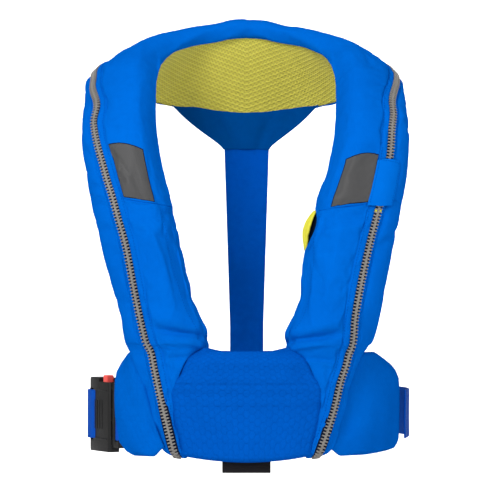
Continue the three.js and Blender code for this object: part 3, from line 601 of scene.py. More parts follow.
def plastic_finish(name, color, shade, roughness=0.42, grain=2200.0, specular=0.22):
    """Moulded plastic with a fine spark-eroded grain and rubbed patches."""
    f = Finish(name, roughness, specular=specular)
    w = f.w
    f.tone(color, shade, 0.5)
    scratch = w.noise(f.object_place, 420.0, 4.0)
    f.rough(w.math("MULTIPLY_ADD", scratch, 0.22, roughness - 0.1))
    f.bump(w.noise(f.object_place, grain, 2.0), 0.00006)
    return f.material


def patch_finish():
    """Dull retroreflective film with a fine diamond grid."""
    f = Finish("reflective_film", 0.5, specular=0.2, uv=True)
    w = f.w
    x, y, _ = w.split(f.place)
    turn = 2 * math.pi / 0.0016
    one = w.math("SINE", w.math("MULTIPLY", w.math("ADD", x, y), turn))
    two = w.math("SINE", w.math("MULTIPLY", w.math("SUBTRACT", x, y), turn))
    grid = w.ramp(w.math("MAXIMUM", one, two), 0.8, 1.0)
    drift = f.tone((0.052, 0.052, 0.053), (0.042, 0.042, 0.043), 0.5)
    f.color(w.mix(w.math("MULTIPLY", grid, 0.25), drift["Color"], (0.10, 0.10, 0.102, 1)))
    f.bump(grid, 0.0001)
    return f.material


def steel_finish():
    f = Finish("brushed_cylinder", 0.3, metallic=1.0)
    w = f.w
    stretched = w.vector("MULTIPLY", f.object_place, (1.0, 1.0, 0.08))
    streak = w.noise(stretched, 900.0, 3.0)
    f.tone((0.62, 0.63, 0.65), (0.42, 0.43, 0.45), 0.5)
    f.rough(w.math("MULTIPLY_ADD", streak, 0.25, 0.2))
    f.bump(streak, 0.00004)
    return f.material


FINISHES = {}


def finishes():
    """Makes every finish once."""
    if FINISHES:
        return FINISHES
    style = bpy.context.scene.jacket_style
    blue, deep = tuple(style.cover_color), tuple(style.cover_shade)
    strap, strap_deep = tuple(style.strap_color), tinted(style.strap_color, 0.6)
    FINISHES.update({
        "cover": fabric_finish("cover_nylon", blue, deep),
        "panel": fabric_finish("panel_nylon", (0.0003, 0.074, 0.39), (0.0003, 0.060, 0.33), hexes=0.0062),
        "strap": fabric_finish("strap_nylon", strap, strap_deep, pitch=0.0009),
        "wing": fabric_finish("wing_nylon", tinted(blue, 0.92), tinted(deep, 0.92)),
        # The gusset is the cover blue at half strength: painted shade inside the collar.
        "gusset": fabric_finish("gusset_nylon", tinted(blue, 0.5), tinted(blue, 0.38)),
        "mesh": mesh_finish(),
        # The tab is a lighter copy of the cover blue: painted light on the raised tab.
        "tab": fabric_finish("tab_cloth", (0.0003, 0.118, 0.53), blue, pitch=0.0008),
        "dark_tape": fabric_finish("dark_cloth", (0.006, 0.012, 0.03), (0.004, 0.008, 0.02), pitch=0.0009),
        "thread": plastic_finish("sewing_thread", (0.0001, 0.066, 0.34), (0.0001, 0.05, 0.28), 0.7,
                                 specular=0.0),
        "bladder": fabric_finish("bladder_cloth", (0.66, 0.62, 0.06), (0.5, 0.46, 0.04), roughness=0.4),
        "patch": patch_finish(),
        "belt": webbing_finish("belt_weave", strap, strap_deep),
        "black_web": webbing_finish("black_weave", (0.0085, 0.0075, 0.009), (0.005, 0.005, 0.006)),
        "teeth": plastic_finish("zip_teeth_plastic", (0.20, 0.188, 0.172), (0.14, 0.13, 0.12), 0.38),
        "black": plastic_finish("buckle_plastic", (0.007, 0.007, 0.007), (0.012, 0.0115, 0.011), 0.45),
        "red": plastic_finish("release_plastic", (0.78, 0.09, 0.075), (0.6, 0.06, 0.05), 0.4),
        "rubber": plastic_finish("tube_rubber", (0.03, 0.03, 0.032), (0.05, 0.05, 0.05), 0.65),
        "steel": steel_finish(),
        "yellow": plastic_finish("whistle_plastic", (0.7, 0.62, 0.05), (0.5, 0.44, 0.04), 0.35),
    })
    return FINISHES


def dress(obj, finish):
    obj.data.materials.clear()
    obj.data.materials.append(finishes()[finish])
    return obj


# ---------- cover ----------

SEAM_HALF = 1.0            # half the width of a seam's groove
SEAM_DEEP = 1.7
EDGE_SEAM = 10             # how far the neck-side seam stands in from the edge, along the cloth
EDGE_SEAM_TO = 5.62        # the station that it ends at, below the patch
STRIP_IN, STRIP_OUT = 12.0, 8.2    # seams of the zip's strips, from the middle of the zip
CHANNEL = 4.3              # half width of the channel that the teeth lie in
CHANNEL_DEEP = 1.1
CREST_FROM = 9             # the first point of the section that lies on the front of the band
CREST_COUNT = 65
COVER_ROWS = 376
PATCH_RIGHT = (5.74, 6.6)
PATCH_LEFT = (5.86, 6.74)
CROSS_SEAMS = (PATCH_RIGHT[0] - 0.035, FAR_HEM - PATCH_LEFT[0] + 0.035)
WINDOW_AT, WINDOW_HALF = 5.27, 0.56    # access window, in stations
WINDOW_PULL = 18.0         # how far its edge is pulled open
WINDOW_SPREAD = 45         # width of the cloth that takes up the pull
COVER_CAP = 2.6            # the most that a point of the cover moves as it fills
CREASE_AT = 3.12           # station of the deep crease above the chest panel


def arch(width, height, u):
    ratio = max(-1.0, min(1.0, 1 - 2 * u / width))
    cosine = math.copysign(abs(ratio) ** (1 / ROUND_ACROSS), ratio)
    return BASE + (height - BASE) * math.sqrt(max(0.0, 1 - cosine * cosine)) ** ROUND_UP


def tucked(u, n, near, band):
    """Near the hem the lobe flattens into the chest panel on its neck side and falls at its outer side."""
    tuck = 1 - smooth(2.0, 3.2, near)
    if tuck <= 0:
        return n
    share = max(0.0, min(1.0, u / max(8.0, band.zip - 8)))
    low = (band.height - 6) + 5 * share ** 0.8
    low -= 6 * min(1.0, max(0.0, (u - band.zip) / max(4.0, band.width - band.zip))) ** 1.5
    return n * (1 - tuck) + low * tuck


def collar_share(near):
    """0 on the lobes, rising to 1 along the back of the collar."""
    return smooth(9.2, 11.6, near)


def section_line(s, band):
    """The cover's section as points across the band, from the liner's seam to the outer edge."""
    near = from_hem(s)
    width, height = band.width, band.height
    roll = 3.0 + 17.0 * collar_share(near)
    proud = 0.9 + 3.6 * collar_share(near)
    points = []
    for k in range(CREST_FROM):
        turn = math.pi / 2 * k / CREST_FROM
        points.append((roll * math.cos(turn) ** 1.2, 0.4 - proud * math.sin(2 * turn) ** 0.7))
    for k in range(CREST_COUNT):
        u = width / 2 * (1 - math.cos(math.pi * k / (CREST_COUNT - 1)))
        n = arch(width, height, u) if 0 < k < CREST_COUNT - 1 else BASE - 1.5
        if 0 < k < CREST_COUNT - 1:
            n = tucked(u, n, near, band)
        points.append((u, n))
    for k in range(1, 5):
        points.append((width - 0.9 * k, -0.5))
    return points


def length_table(points):
    line = np.array(points)
    return line, distances_along(line)


def crest_distance(line, table, u):
    crest = slice(CREST_FROM, CREST_FROM + CREST_COUNT)
    return float(np.interp(u, line[crest, 0], table[crest]))


def seam_distances(line, table, band):
    """Distances along the section of the edge seam, the zip and the two seams of its strips."""
    middle = crest_distance(line, table, band.zip)
    start = table[CREST_FROM]
    inner = max(start + 6, middle - STRIP_IN)
    outer = min(table[-1] - 6, middle + STRIP_OUT)
    edge = start + min(EDGE_SEAM, (inner - start) * 0.3)
    return edge, inner, middle, outer


def column_plan(line, table, band, near):
    """Distances across the section, with each seam's groove depth and whether it is held."""
    edge, inner, middle, outer = seam_distances(line, table, band)
    end = table[-1]
    plan = [(0.0, 0.0, 1)]

    def stretch(a, b, count):
        plan.extend((a + (b - a) * k / count, 0.0, 0) for k in range(1, count))

    def seam(at, depth=SEAM_DEEP):
        plan.extend(((at - SEAM_HALF, 0.06 * depth, 0), (at, depth, int(depth > 0.5)),
                     (at + SEAM_HALF, 0.06 * depth, 0)))

    stretch(0, edge - SEAM_HALF, 9)
    seam(edge, SEAM_DEEP * (1 - smooth(EDGE_SEAM_TO - 0.15, EDGE_SEAM_TO + 0.1, near)))
    stretch(edge + SEAM_HALF, inner - SEAM_HALF, 26)
    seam(inner)
    stretch(inner + SEAM_HALF, middle - CHANNEL, 4)
    plan.extend((middle + k * CHANNEL, deep, 1) for k, deep in
                ((-1, 0), (-0.85, CHANNEL_DEEP), (0, CHANNEL_DEEP), (0.85, CHANNEL_DEEP), (1, 0)))
    stretch(middle + CHANNEL, outer - SEAM_HALF, 3)
    seam(outer)
    stretch(outer + SEAM_HALF, end, 11)
    plan.append((end, 0.0, 1))
    return plan


def bump_at(x, middle, half):
    return math.exp(-((x - middle) / half) ** 2)


def folds(s, share):
    """Soft folds of the cover: broad drift, gathers beside the chest panel, one crease at its corner."""
    near = from_hem(s)
    side = 1 if s < BACK else -1
    value = 1.5 * noise.noise(Vector((near * 1.3 + 7 * side, share * 2.2, 1.7)))
    value += 0.8 * noise.noise(Vector((near * 3.4 + 11 * side, share * 1.6, 5.1)))
    value += 1.2 * bump_at(near, 8.4, 0.9) * noise.noise(Vector((near * 6.0 + 3 * side, share, 9.4)))
    inward = 1 - smooth(0.3, 0.62, share)
    crease_at = CREASE_AT + 0.5 * share - 0.05 * side
    value -= 5.0 * bump_at(near, crease_at, 0.07) * inward
    value += 3.2 * bump_at(near, crease_at + 0.24, 0.16) * inward
    value += 2.4 * bump_at(near, crease_at - 0.3, 0.17) * inward
    value -= 2.0 * bump_at(near, 2.45 - 0.5 * share, 0.09) * smooth(0.05, 0.3, share) * inward
    value -= 2.4 * bump_at(near, 1.05, 0.35) * smooth(0.8, 0.95, share)
    if side < 0:
        value -= 2.2 * bump_at(near, 7.55 + 1.1 * (1 - share), 0.12) * smooth(0.55, 0.9, share)
    else:
        value -= 1.6 * bump_at(near, 7.25 + 0.8 * (1 - share), 0.12) * smooth(0.6, 0.9, share)
    return value


def cover_stations():
    """Stations of the cover's rows, closer together at the seam across each lobe."""
    rows = list(np.linspace(0, FAR_HEM, COVER_ROWS))
    for at in CROSS_SEAMS:
        rows = [s for s in rows if abs(s - at) > 0.045] + [at + k * 0.015 for k in (-2, -1, 0, 1, 2)]
    return sorted(rows)


def cover_mesh():
    stations = cover_stations()
    bands = [band_at(float(s)) for s in stations]
    middles = [band.at(band.width / 2, 0) for band in bands]
    steps = [np.linalg.norm(b - a) for a, b in zip(middles, middles[1:])]
    lengths = np.concatenate(([0.0], np.cumsum(steps)))
    vertices, uvs, pinned, channel = [], [], [], []
    columns = 0
    for row, (s, band) in enumerate(zip(stations, bands)):
        line, table = length_table(section_line(s, band))
        near = from_hem(s)
        plan = column_plan(line, table, band, near)
        inner_seam = seam_distances(line, table, band)[1]
        columns = len(plan)
        held_at = [d for d, deep, held in plan if held]
        hem_gap = min(lengths[row], lengths[-1] - lengths[row])
        floor = [d for d, deep, held in plan].index(seam_distances(line, table, band)[2])
        channel.append([row * columns + floor + k for k in (-2, 0, 2)])
        round_end = math.sqrt(max(0.03, 1 - (1 - min(1.0, hem_gap / 12)) ** 2))
        window = max(0.0, 1 - ((s - WINDOW_AT) / WINDOW_HALF) ** 2) ** 0.8
        opened = WINDOW_PULL * window
        cross = min(abs(s - at) for at in CROSS_SEAMS)
        for distance, deep, held in plan:
            shifted = distance
            if opened > 0 and distance < WINDOW_SPREAD:
                shifted = opened + table[CREST_FROM] * window + distance * (
                    1 - (opened + table[CREST_FROM] * window) / WINDOW_SPREAD)
            u = float(np.interp(shifted, table, line[:, 0]))
            n = float(np.interp(shifted, table, line[:, 1]))
            free = smooth(0, 8, min(abs(distance - d) for d in held_at))
            share = distance / table[-1]
            shift = folds(s, share) * free * round_end - deep * round_end
            if table[CREST_FROM] < distance < inner_seam:
                shift -= 1.6 * max(0.0, 1 - cross / 0.02)
            shift += 3.0 * window * bump_at(distance, 14, 9)
            if n > 0:
                n *= round_end
            outward = band.out
            if u < 4 and 0 < n < band.height * 0.62:
                outward = unit(band.out * 0.3 - band.across)
            elif u > band.width - 4 and 0 < n < band.height * 0.62:
                outward = unit(band.out * 0.3 + band.across)
            elif n <= 0:
                outward = -band.out
            corner = 9.0 * (1 - math.sqrt(max(0.0, 1 - (1 - min(1.0, hem_gap / 13)) ** 2)))
            u -= corner * smooth(0.55, 1.0, u / band.width)
            vertices.append(band.at(u, n) + outward * shift)
            uvs.append((lengths[row], distance))
            pinned.append(bool(held) or row in (0, len(stations) - 1))
    return vertices, uvs, pinned, len(stations), columns, channel


COVER_TREE = []
CHANNEL_LINE = []          # the zip channel's lips and floor, row by row


def build_cover():
    vertices, uvs, pinned, rows, columns, channel = cover_mesh()
    CHANNEL_LINE.extend([vertices[i] for i in row] for row in channel)
    obj = sheet_object("cover", rows, columns, vertices, uvs)
    flip_faces(obj)
    for end in (0, rows - 1):
        select_vertices(obj, range(end * columns, (end + 1) * columns))
        bpy.ops.object.mode_set(mode="EDIT")
        bpy.ops.mesh.edge_face_add()
        bpy.ops.object.mode_set(mode="OBJECT")
    style = bpy.context.scene.jacket_style
    puff(obj, pinned, style.cover_pressure, style.cover_growth, COVER_CAP)
    apply_modifier(obj, "SUBSURF", levels=1, render_levels=1)
    shade_smooth(obj)
    COVER_TREE.append(BVHTree.FromObject(obj, bpy.context.evaluated_depsgraph_get()))
    dress(obj, "cover")
    finish_piece(obj, "cover_fabric", "root", "cover_front_right", "cover_front_collar", "cover_front_left",
                 "cover_side_right", "cover_side_collar", "cover_side_left")


def on_cover(s, u, lift):
    """A point on the finished cover at a station and distance from the neck-side edge, and its normal."""
    band = band_at(float(s))
    n = arch(band.width, band.height, u)
    ahead = arch(band.width, band.height, min(u + 1, band.width - 0.1))
    behind = arch(band.width, band.height, max(u - 1, 0.1))
    normal = unit(band.out * 2 - band.across * (ahead - behind))
    near = from_hem(s)
    foot = band.at(u, tucked(u, n, near, band))
    start = Vector((foot + normal * 14) * MM)
    hit, hit_normal, _, _ = COVER_TREE[0].ray_cast(start, Vector(-normal), 0.03)
    if hit is None:
        return foot + normal * lift, normal
    return np.array(hit) / MM + normal * lift, unit(0.5 * normal + 0.5 * np.array(hit_normal))


def band_station(s):
    band = band_at(float(s))
    line, table = length_table(section_line(s, band))
    return band, line, table


@functools.lru_cache(maxsize=None)
def seam_u(s, which):
    """Distance from the neck-side edge of a seam: 0 edge, 1 inner strip, 2 zip, 3 outer strip."""
    band, line, table = band_station(s)
    at = seam_distances(line, table, band)[which]
    crest = slice(CREST_FROM, CREST_FROM + CREST_COUNT)
    return float(np.interp(at, table[crest], line[crest, 0]))


# ---------- liner and bladder ----------

def edge_spaced(length, count, radius):
    """Parameters from 0 to 1, with extra ones inside each rounded end."""
    close = [radius * share / length for share in (0, 0.08, 0.3, 0.65, 1)]
    middle = np.linspace(close[-1], 1 - close[-1], count)[1:-1]
    return close + list(middle) + [1 - c for c in reversed(close)]


def rounded(distance, radius):
    return math.sqrt(max(0.0, 1 - (1 - min(1.0, distance / radius)) ** 2))


def layer(name, length, width, counts, radius, place):
    """A closed soft layer with rounded edges. place(r, c) gives its underside, normal and thickness."""
    rows = edge_spaced(length, counts[0], radius)
    columns = edge_spaced(width, counts[1], radius)
    top, bottom, uvs = [], [], []
    for r in rows:
        for c in columns:
            point, normal, thick = place(r, c)
            edge = min(rounded(min(r, 1 - r) * length, radius), rounded(min(c, 1 - c) * width, radius))
            middle = point + normal * thick / 2
            top.append(middle + normal * thick / 2 * edge)
            bottom.append(middle - normal * thick / 2 * edge)
            uvs.append(((r - 0.5) * length, (c - 0.5) * width))
    face = sheet_object(name, len(rows), len(columns), top, uvs)
    under = sheet_object(name + "_under", len(rows), len(columns), bottom, uvs)
    flip_faces(under)
    join([face, under])
    face_outwards(face)
    shade_smooth(face)
    return face


def band_layer(name, s_from, s_to, u_from, u_to, low, thick, counts, radius, ripple=None):
    """A soft layer that lies along the band between two stations."""
    middle = [band_at(s).at(band_at(s).width / 2, 0) for s in np.linspace(s_from, s_to, 40).tolist()]
    length = sum(np.linalg.norm(b - a) for a, b in zip(middle, middle[1:]))
    width = np.mean([u_to(s, band_at(s)) - u_from(s, band_at(s))
                     for s in np.linspace(s_from, s_to, 9).tolist()])

    def place(r, c):
        s = s_from + (s_to - s_from) * r
        band = band_at(float(s))
        a, b = u_from(s, band), u_to(s, band)
        shift = ripple(s, c) if ripple else 0.0
        return band.at(a + (b - a) * c, low + shift), band.out, thick

    return layer(name, length, width, counts, radius, place)


def liner_ripple(s, c):
    """Soft upright folds of the collar's spacer mesh, strongest beside the shoulders."""
    middle = math.sin(math.pi * c)
    turn = abs(s - BACK) / 3.5
    value = 0.9 * noise.noise(Vector((s * 2.1, c * 0.8, 3.0)))
    value += 0.5 * noise.noise(Vector((s * 5.0, c, 8.0)))
    return (value * (0.7 + 1.0 * turn) - 1.0 * math.cos(math.pi * min(1, abs(s - BACK) / 3))) * middle


COLLAR_FROM = 9.0          # the station where the lobes pass into the collar


def build_liner():
    low, high = COLLAR_FROM, FAR_HEM - COLLAR_FROM

    def start(s, band):
        near = from_hem(s)
        return 4.0 + 13.0 * collar_share(near) + 6.0 * bump_at(near, CREASE_AT, 0.45)

    def end(s, band):
        return band.width - 2.2

    collar = band_layer("collar_mesh", low, high, start, end, 0.6, 2.6, (170, 46), 1.6, liner_ripple)
    right = band_layer("lobe_mesh_right", 0.12, low - 0.02, start, end, 0.5, 2.6, (150, 22), 1.5)
    left = band_layer("lobe_mesh_left", high + 0.02, FAR_HEM - 0.12, start, end, 0.5, 2.6, (150, 22), 1.5)
    for obj, node in ((collar, "collar_liner"), (right, "liner_right"), (left, "liner_left")):
        dress(obj, "mesh")
        finish_piece(obj, "mesh_liner", "root", node)


def build_bladder():
    """Folded bladders inside the cover; the right one bulges out of the access window."""
    far = FAR_HEM - COLLAR_FROM
    spans = (("right", 0.1, COLLAR_FROM - 0.04), ("collar", COLLAR_FROM, far),
             ("left", far + 0.04, FAR_HEM - 0.1))
    for side, low, high in spans:
        obj = band_layer("bladder_" + side + "_cloth", low, high,
                         lambda s, band: 6.0 + 9.0 * bump_at(from_hem(s), CREASE_AT, 0.5),
                         lambda s, band: band.width - 6.0, BASE + 0.8, 4.0, (90, 16), 1.9,
                         lambda s, c: 0.25 * noise.noise(Vector((s * 8, c * 5, 2))))
        if side == "right":
            join([obj, window_fold()])
        dress(obj, "bladder")
        finish_piece(obj, "bladder_fabric", "root", "bladder_" + side)
    window_painted_shadow()


def window_fold():
    """The bladder's fold, which shows as a slim crescent along the window's far edge."""
    low, high = WINDOW_AT - 0.5, WINDOW_AT + 0.46

    def place(r, c):
        s = low + (high - low) * r
        band = band_at(s)
        open_here = math.sin(math.pi * r ** 1.15) ** 0.75
        wave = 0.5 * noise.noise(Vector((s * 7, c * 2, 4)))
        u = 1.2 - 4.2 * open_here + 1.0 * c + wave
        n = BASE - 1.5 + (3 + 9.5 * open_here) * c
        return band.at(u, n), -band.across, 1.2 + 2.6 * open_here * (1 - 0.2 * c)

    return layer("window_fold", 54, 14, (34, 12), 1.8, place)


def window_painted_shadow():
    """A dark sheet of painted shadow, seen between the bladder's fold and the cover's open edge."""
    low, high = WINDOW_AT - 0.52, WINDOW_AT + 0.48

    def place(r, c):
        s = low + (high - low) * r
        band = band_at(s)
        bulge = math.sin(math.pi * r) ** 0.8
        u = -3.0 * bulge + 1.0 + (17 + 3 * bulge) * c
        n = BASE + 1 + (3.0 + 12.0 * c) * bulge
        return band.at(u, n), unit(band.out - 0.6 * band.across), 0.6

    # Painted shadow: a dark sheet fills the window's opening, where there is only shade.
    hollow = layer("window_shadow_sheet", 60, 18, (24, 10), 0.4, place)
    dress(hollow, "dark_tape")
    finish_piece(hollow, "cover_fabric", "root")


# ---------- zip ----------

def tooth_shape():
    """One moulded tooth at the origin: X along the zip, Y from its root to its head, Z up."""
    bpy.ops.object.select_all(action="DESELECT")
    bpy.ops.mesh.primitive_cube_add(size=1)
    obj = bpy.context.object
    for v in obj.data.vertices:
        v.co.x *= 1.75 if v.co.y > 0 else 1.3
        v.co.y = 1.1 if v.co.y > 0 else -3.9
        v.co.z = 2.0 if v.co.z > 0 else -0.2
    apply_modifier(obj, "BEVEL", width=0.3, segments=2, limit_method="ANGLE")
    return taken_shape(obj)


def copies(name, shape, frames):
    """One mesh that holds a copy of a shape in each frame of (place, x axis, y axis, z axis), in mm."""
    coordinates, faces = shape
    vertices, all_faces = [], []
    for index, (place, x, y, z) in enumerate(frames):
        vertices.extend(place + coordinates[:, :1] * x + coordinates[:, 1:2] * y + coordinates[:, 2:] * z)
        first = index * len(coordinates)
        all_faces.extend(tuple(first + i for i in face) for face in faces)
    return new_object(name, vertices, all_faces)


TOOTH_PITCH = 3.3
TAPE_SEEN = 10.4           # width of the tape modelled under the teeth


def zip_line():
    """The channel's middle at every half pitch, as (place, along, across, up)."""
    rows = np.array(CHANNEL_LINE)
    gone = distances_along(rows[:, 1])
    marks = np.arange(TOOTH_PITCH, gone[-1] - TOOTH_PITCH, TOOTH_PITCH / 2)
    spots = np.stack([[np.interp(marks, gone, rows[:, lip, axis]) for axis in range(3)]
                      for lip in range(3)])
    lip_in, floor, lip_out = (np.array([np.convolve(np.pad(line, 2, mode="edge"), np.ones(5) / 5, "valid")
                                        for line in spot]).T for spot in spots)
    along = [unit(b - a) for a, b in zip(floor[:-1], floor[1:])]
    along.append(along[-1])
    found = []
    for place, run, low, high in zip(floor, along, lip_in, lip_out):
        up = unit(np.cross(unit(high - low), run))
        found.append((place, run, unit(np.cross(up, run)), up))
    return found


def build_zip():
    line = zip_line()
    frames = [(place + up * 0.35, run, across * (1 if index % 2 else -1), up)
              for index, (place, run, across, up) in enumerate(line)]
    teeth = copies("zip_teeth", tooth_shape(), frames)
    face_outwards(teeth)
    shade_smooth(teeth, 35)
    dress(teeth, "teeth")
    finish_piece(teeth, "zip", "root", "zip_chain")

    count = len(line)

    def place(r, c):
        at = r * (count - 1)
        low = min(int(at), count - 2)
        share = at - low
        (p0, _, a0, n0), (p1, _, a1, n1) = line[low], line[low + 1]
        aside = (c - 0.5) * TAPE_SEEN
        droop = 0.25 * max(0.0, abs(aside) - 3.6) ** 2
        before, after = p0 + a0 * aside - n0 * droop, p1 + a1 * aside - n1 * droop
        return before * (1 - share) + after * share, n0, 0.3

    length = (count - 1) * TOOTH_PITCH / 2
    tape = layer("zip_strip", length, TAPE_SEEN, (520, 12), 0.25, place)
    dress(tape, "dark_tape")
    finish_piece(tape, "zip_cloth", "root", "zip_tape")


def thread_shape():
    """One stitch at the origin, along X."""
    bpy.ops.object.select_all(action="DESELECT")
    bpy.ops.mesh.primitive_cylinder_add(vertices=6, radius=0.32, depth=1.5)
    obj = bpy.context.object
    bpy.ops.object.mode_set(mode="EDIT")
    bpy.ops.mesh.select_all(action="SELECT")
    bpy.ops.transform.rotate(value=math.pi / 2, orient_axis="Y", center_override=(0, 0, 0))
    bpy.ops.object.mode_set(mode="OBJECT")
    apply_modifier(obj, "BEVEL", width=0.18, segments=1, limit_method="ANGLE")
    return taken_shape(obj)


def stitch_row(points, normals, pitch=2.6):
    """Frames of stitches along a polyline, each half sunk into the cloth."""
    points = np.array(points)
    gone = distances_along(points)
    frames = []
    for at in np.arange(pitch / 2, gone[-1], pitch):
        low = min(int(np.searchsorted(gone, at)) - 1, len(points) - 2)
        low = max(low, 0)
        share = (at - gone[low]) / max(gone[low + 1] - gone[low], 1e-6)
        place = points[low] * (1 - share) + points[low + 1] * share
        run = unit(points[low + 1] - points[low])
        normal = np.array(normals[low])
        side = unit(np.cross(normal, run))
        frames.append((place, run, side, unit(np.cross(run, side))))
    return frames


def build_seams():
    """Thread rows beside the cover's seams."""
    frames = []
    rows = ((0, 3.4, EDGE_SEAM_TO, 1.9), (0, FAR_HEM - EDGE_SEAM_TO, FAR_HEM - 3.4, 1.9),
            (1, 0.15, FAR_HEM - 0.15, 2.0), (3, 0.15, FAR_HEM - 0.15, -1.9))
    for which, s_from, s_to, beside in rows:
        stations = np.linspace(s_from, s_to, 420)
        us = np.interp(stations, stations[::5], [seam_u(s, which) + beside for s in stations[::5]])
        spots = [on_cover(s, u, 0.05) for s, u in zip(stations, us)]
        frames.extend(stitch_row([p for p, n in spots], [n for p, n in spots], 3.0))
    obj = copies("seam_thread", thread_shape(), frames)
    face_outwards(obj)
    shade_smooth(obj, 60)
    dress(obj, "thread")
    finish_piece(obj, "cover_fabric", "root")


# ---------- patches and tab ----------

def patch_layer(name, s_from, s_to, u_from, u_to, lift, thick, grow=0.0):
    """A flat piece on the cover between two stations; grow widens it all round, in mm."""
    mm_per_station = 55.0
    bow = 0.04
    sign = 1 if s_from < BACK else -1
    s_low, s_high = s_from - grow / mm_per_station, s_to + grow / mm_per_station

    def place(r, c):
        s = s_low + (s_high - s_low) * r
        upper = r if sign > 0 else 1 - r
        a, b = u_from(s) - grow, u_to(s) + grow
        s += sign * bow * upper * (1 - (2 * c - 1) ** 2)
        point, normal = on_cover(s, a + (b - a) * c, lift)
        return point, normal, thick

    return layer(name, (s_high - s_low) * mm_per_station, 36, (26, 22), 0.4, place)


def build_patches():
    spans = (("right", *PATCH_RIGHT, 6.5, 2.6),
             ("left", FAR_HEM - PATCH_LEFT[1], FAR_HEM - PATCH_LEFT[0], 6.0, 3.0))
    for side, s_from, s_to, near_u, spread in spans:
        def near_edge(s):
            return near_u + spread * abs((FAR_HEM - s if s > BACK else s) - 5.75)

        def far_edge(s):
            return seam_u(s, 1) - 2.0
        border = patch_layer("patch_border_" + side, s_from, s_to, near_edge, far_edge, 0.1, 0.5, grow=0.8)
        film = patch_layer("patch_film_" + side, s_from, s_to, near_edge, far_edge, 0.65, 0.7)
        dress(border, "dark_tape")
        finish_piece(border, "cover_fabric", "root")
        dress(film, "patch")
        finish_piece(film, "patch", "root", "patch_" + side)


TAB_FROM, TAB_LONG = 5.6, 0.92
TAB_ACROSS = (-14.5, 15.0)  # its two edges from the middle of the zip


def build_tab():
    """The folded cloth tab over the zip, and the pale stop below it."""
    stations = np.array(cover_stations())
    rows = np.array(CHANNEL_LINE)
    spots = [[np.interp(np.linspace(TAB_FROM, TAB_FROM + TAB_LONG, 9), stations, rows[:, lip, axis])
              for axis in range(3)] for lip in (0, 2)]
    low, high = (np.array([np.polyval(np.polyfit(range(9), line, 2), range(9)) for line in spot]).T
                 for spot in spots)

    def place(r, c):
        corner = 4.5 * smooth(0.8, 1.0, r) ** 2
        aside = TAB_ACROSS[0] + (TAB_ACROSS[1] - TAB_ACROSS[0] - corner) * c
        at = 8 * min(1.0, max(0.0, r - 0.10 * (c - 0.5)))
        here = min(int(at), 7)
        share = at - here
        a = low[here] * (1 - share) + low[here + 1] * share
        b = high[here] * (1 - share) + high[here + 1] * share
        across = unit(b - a)
        up = unit(np.cross(across, unit(low[here + 1] - low[here])))
        wave = 0.3 * noise.noise(Vector((r * 3.0, c * 2.0, 6.6)))
        lift = 2.3 + wave - aside ** 2 / (95 if aside < 0 else 60)
        return (a + b) / 2 + across * aside + up * lift, up, 1.6

    tab = layer("zip_cover_tab", 50, 26, (34, 30), 0.8, place)
    dress(tab, "tab")
    finish_piece(tab, "cover_fabric", "root", "zip_tab")
    outline = []
    for r, c in ([(k / 30, 0.06) for k in range(2, 29)] + [(0.955, k / 12) for k in range(1, 12)]
                 + [(1 - k / 30, 0.94) for k in range(2, 29)]):
        point, normal, thick = place(r, c)
        outline.append((point + normal * thick, normal))
    obj = copies("tab_thread", thread_shape(), stitch_row([p for p, n in outline], [n for p, n in outline]))
    face_outwards(obj)
    dress(obj, "thread")
    finish_piece(obj, "cover_fabric", "root")

    def stop_place(r, c):
        s = TAB_FROM - 0.13 + 0.085 * r
        point, normal = on_cover(s, seam_u(s, 2) - 2.6 + 5.2 * c, 1.2)
        return point, normal, 1.6

    stop = layer("zip_stop_cloth", 5, 5.2, (6, 6), 0.8, stop_place)
    dress(stop, "bladder")
    finish_piece(stop, "bladder_fabric", "root", "zip_stop")


# ---------- chest panel and wings ----------

PANEL_TOP = 3.02
HEX_PITCH = 6.2
HEX_DEEP = 0.22


def hex_relief(x, y):
    """Embossed hexagons: 0 on a cell, falling to -1 along its edges."""
    tall = math.sqrt(3)
    px, py = x / HEX_PITCH, y / HEX_PITCH
    best = 1.0
    for shift in (0, 1):
        ax = abs((px - 0.5 * shift) % 1.0 - 0.5)
        ay = abs((py - tall / 2 * shift) % tall - tall / 2)
        best = min(best, max(ax, 0.5 * ax + ay * tall / 2))
    return -smooth(0.36, 0.49, best)


def panel_edge(near):
    """The chest panel's edge as a distance from the lobe's neck-side edge."""
    strip = 0.5 * (seam_u(max(near, 0.03), 1) + seam_u(FAR_HEM - max(near, 0.03), 1))
    return max(1.0, strip * (1 - smooth(1.25, 1.95, near)) + 1.0 * smooth(1.25, 1.95, near))


@functools.lru_cache(maxsize=None)
def panel_rim(near):
    """Where the panel meets the lobes at a height, as the middle of its two sides."""
    right = on_cover(max(near, 0.08), panel_edge(near), -0.4)[0]
    left = on_cover(FAR_HEM - max(near, 0.08), panel_edge(near), -0.4)[0]
    return np.array(((right[0] - left[0]) / 2, (right[1] + left[1]) / 2, (right[2] + left[2]) / 2))


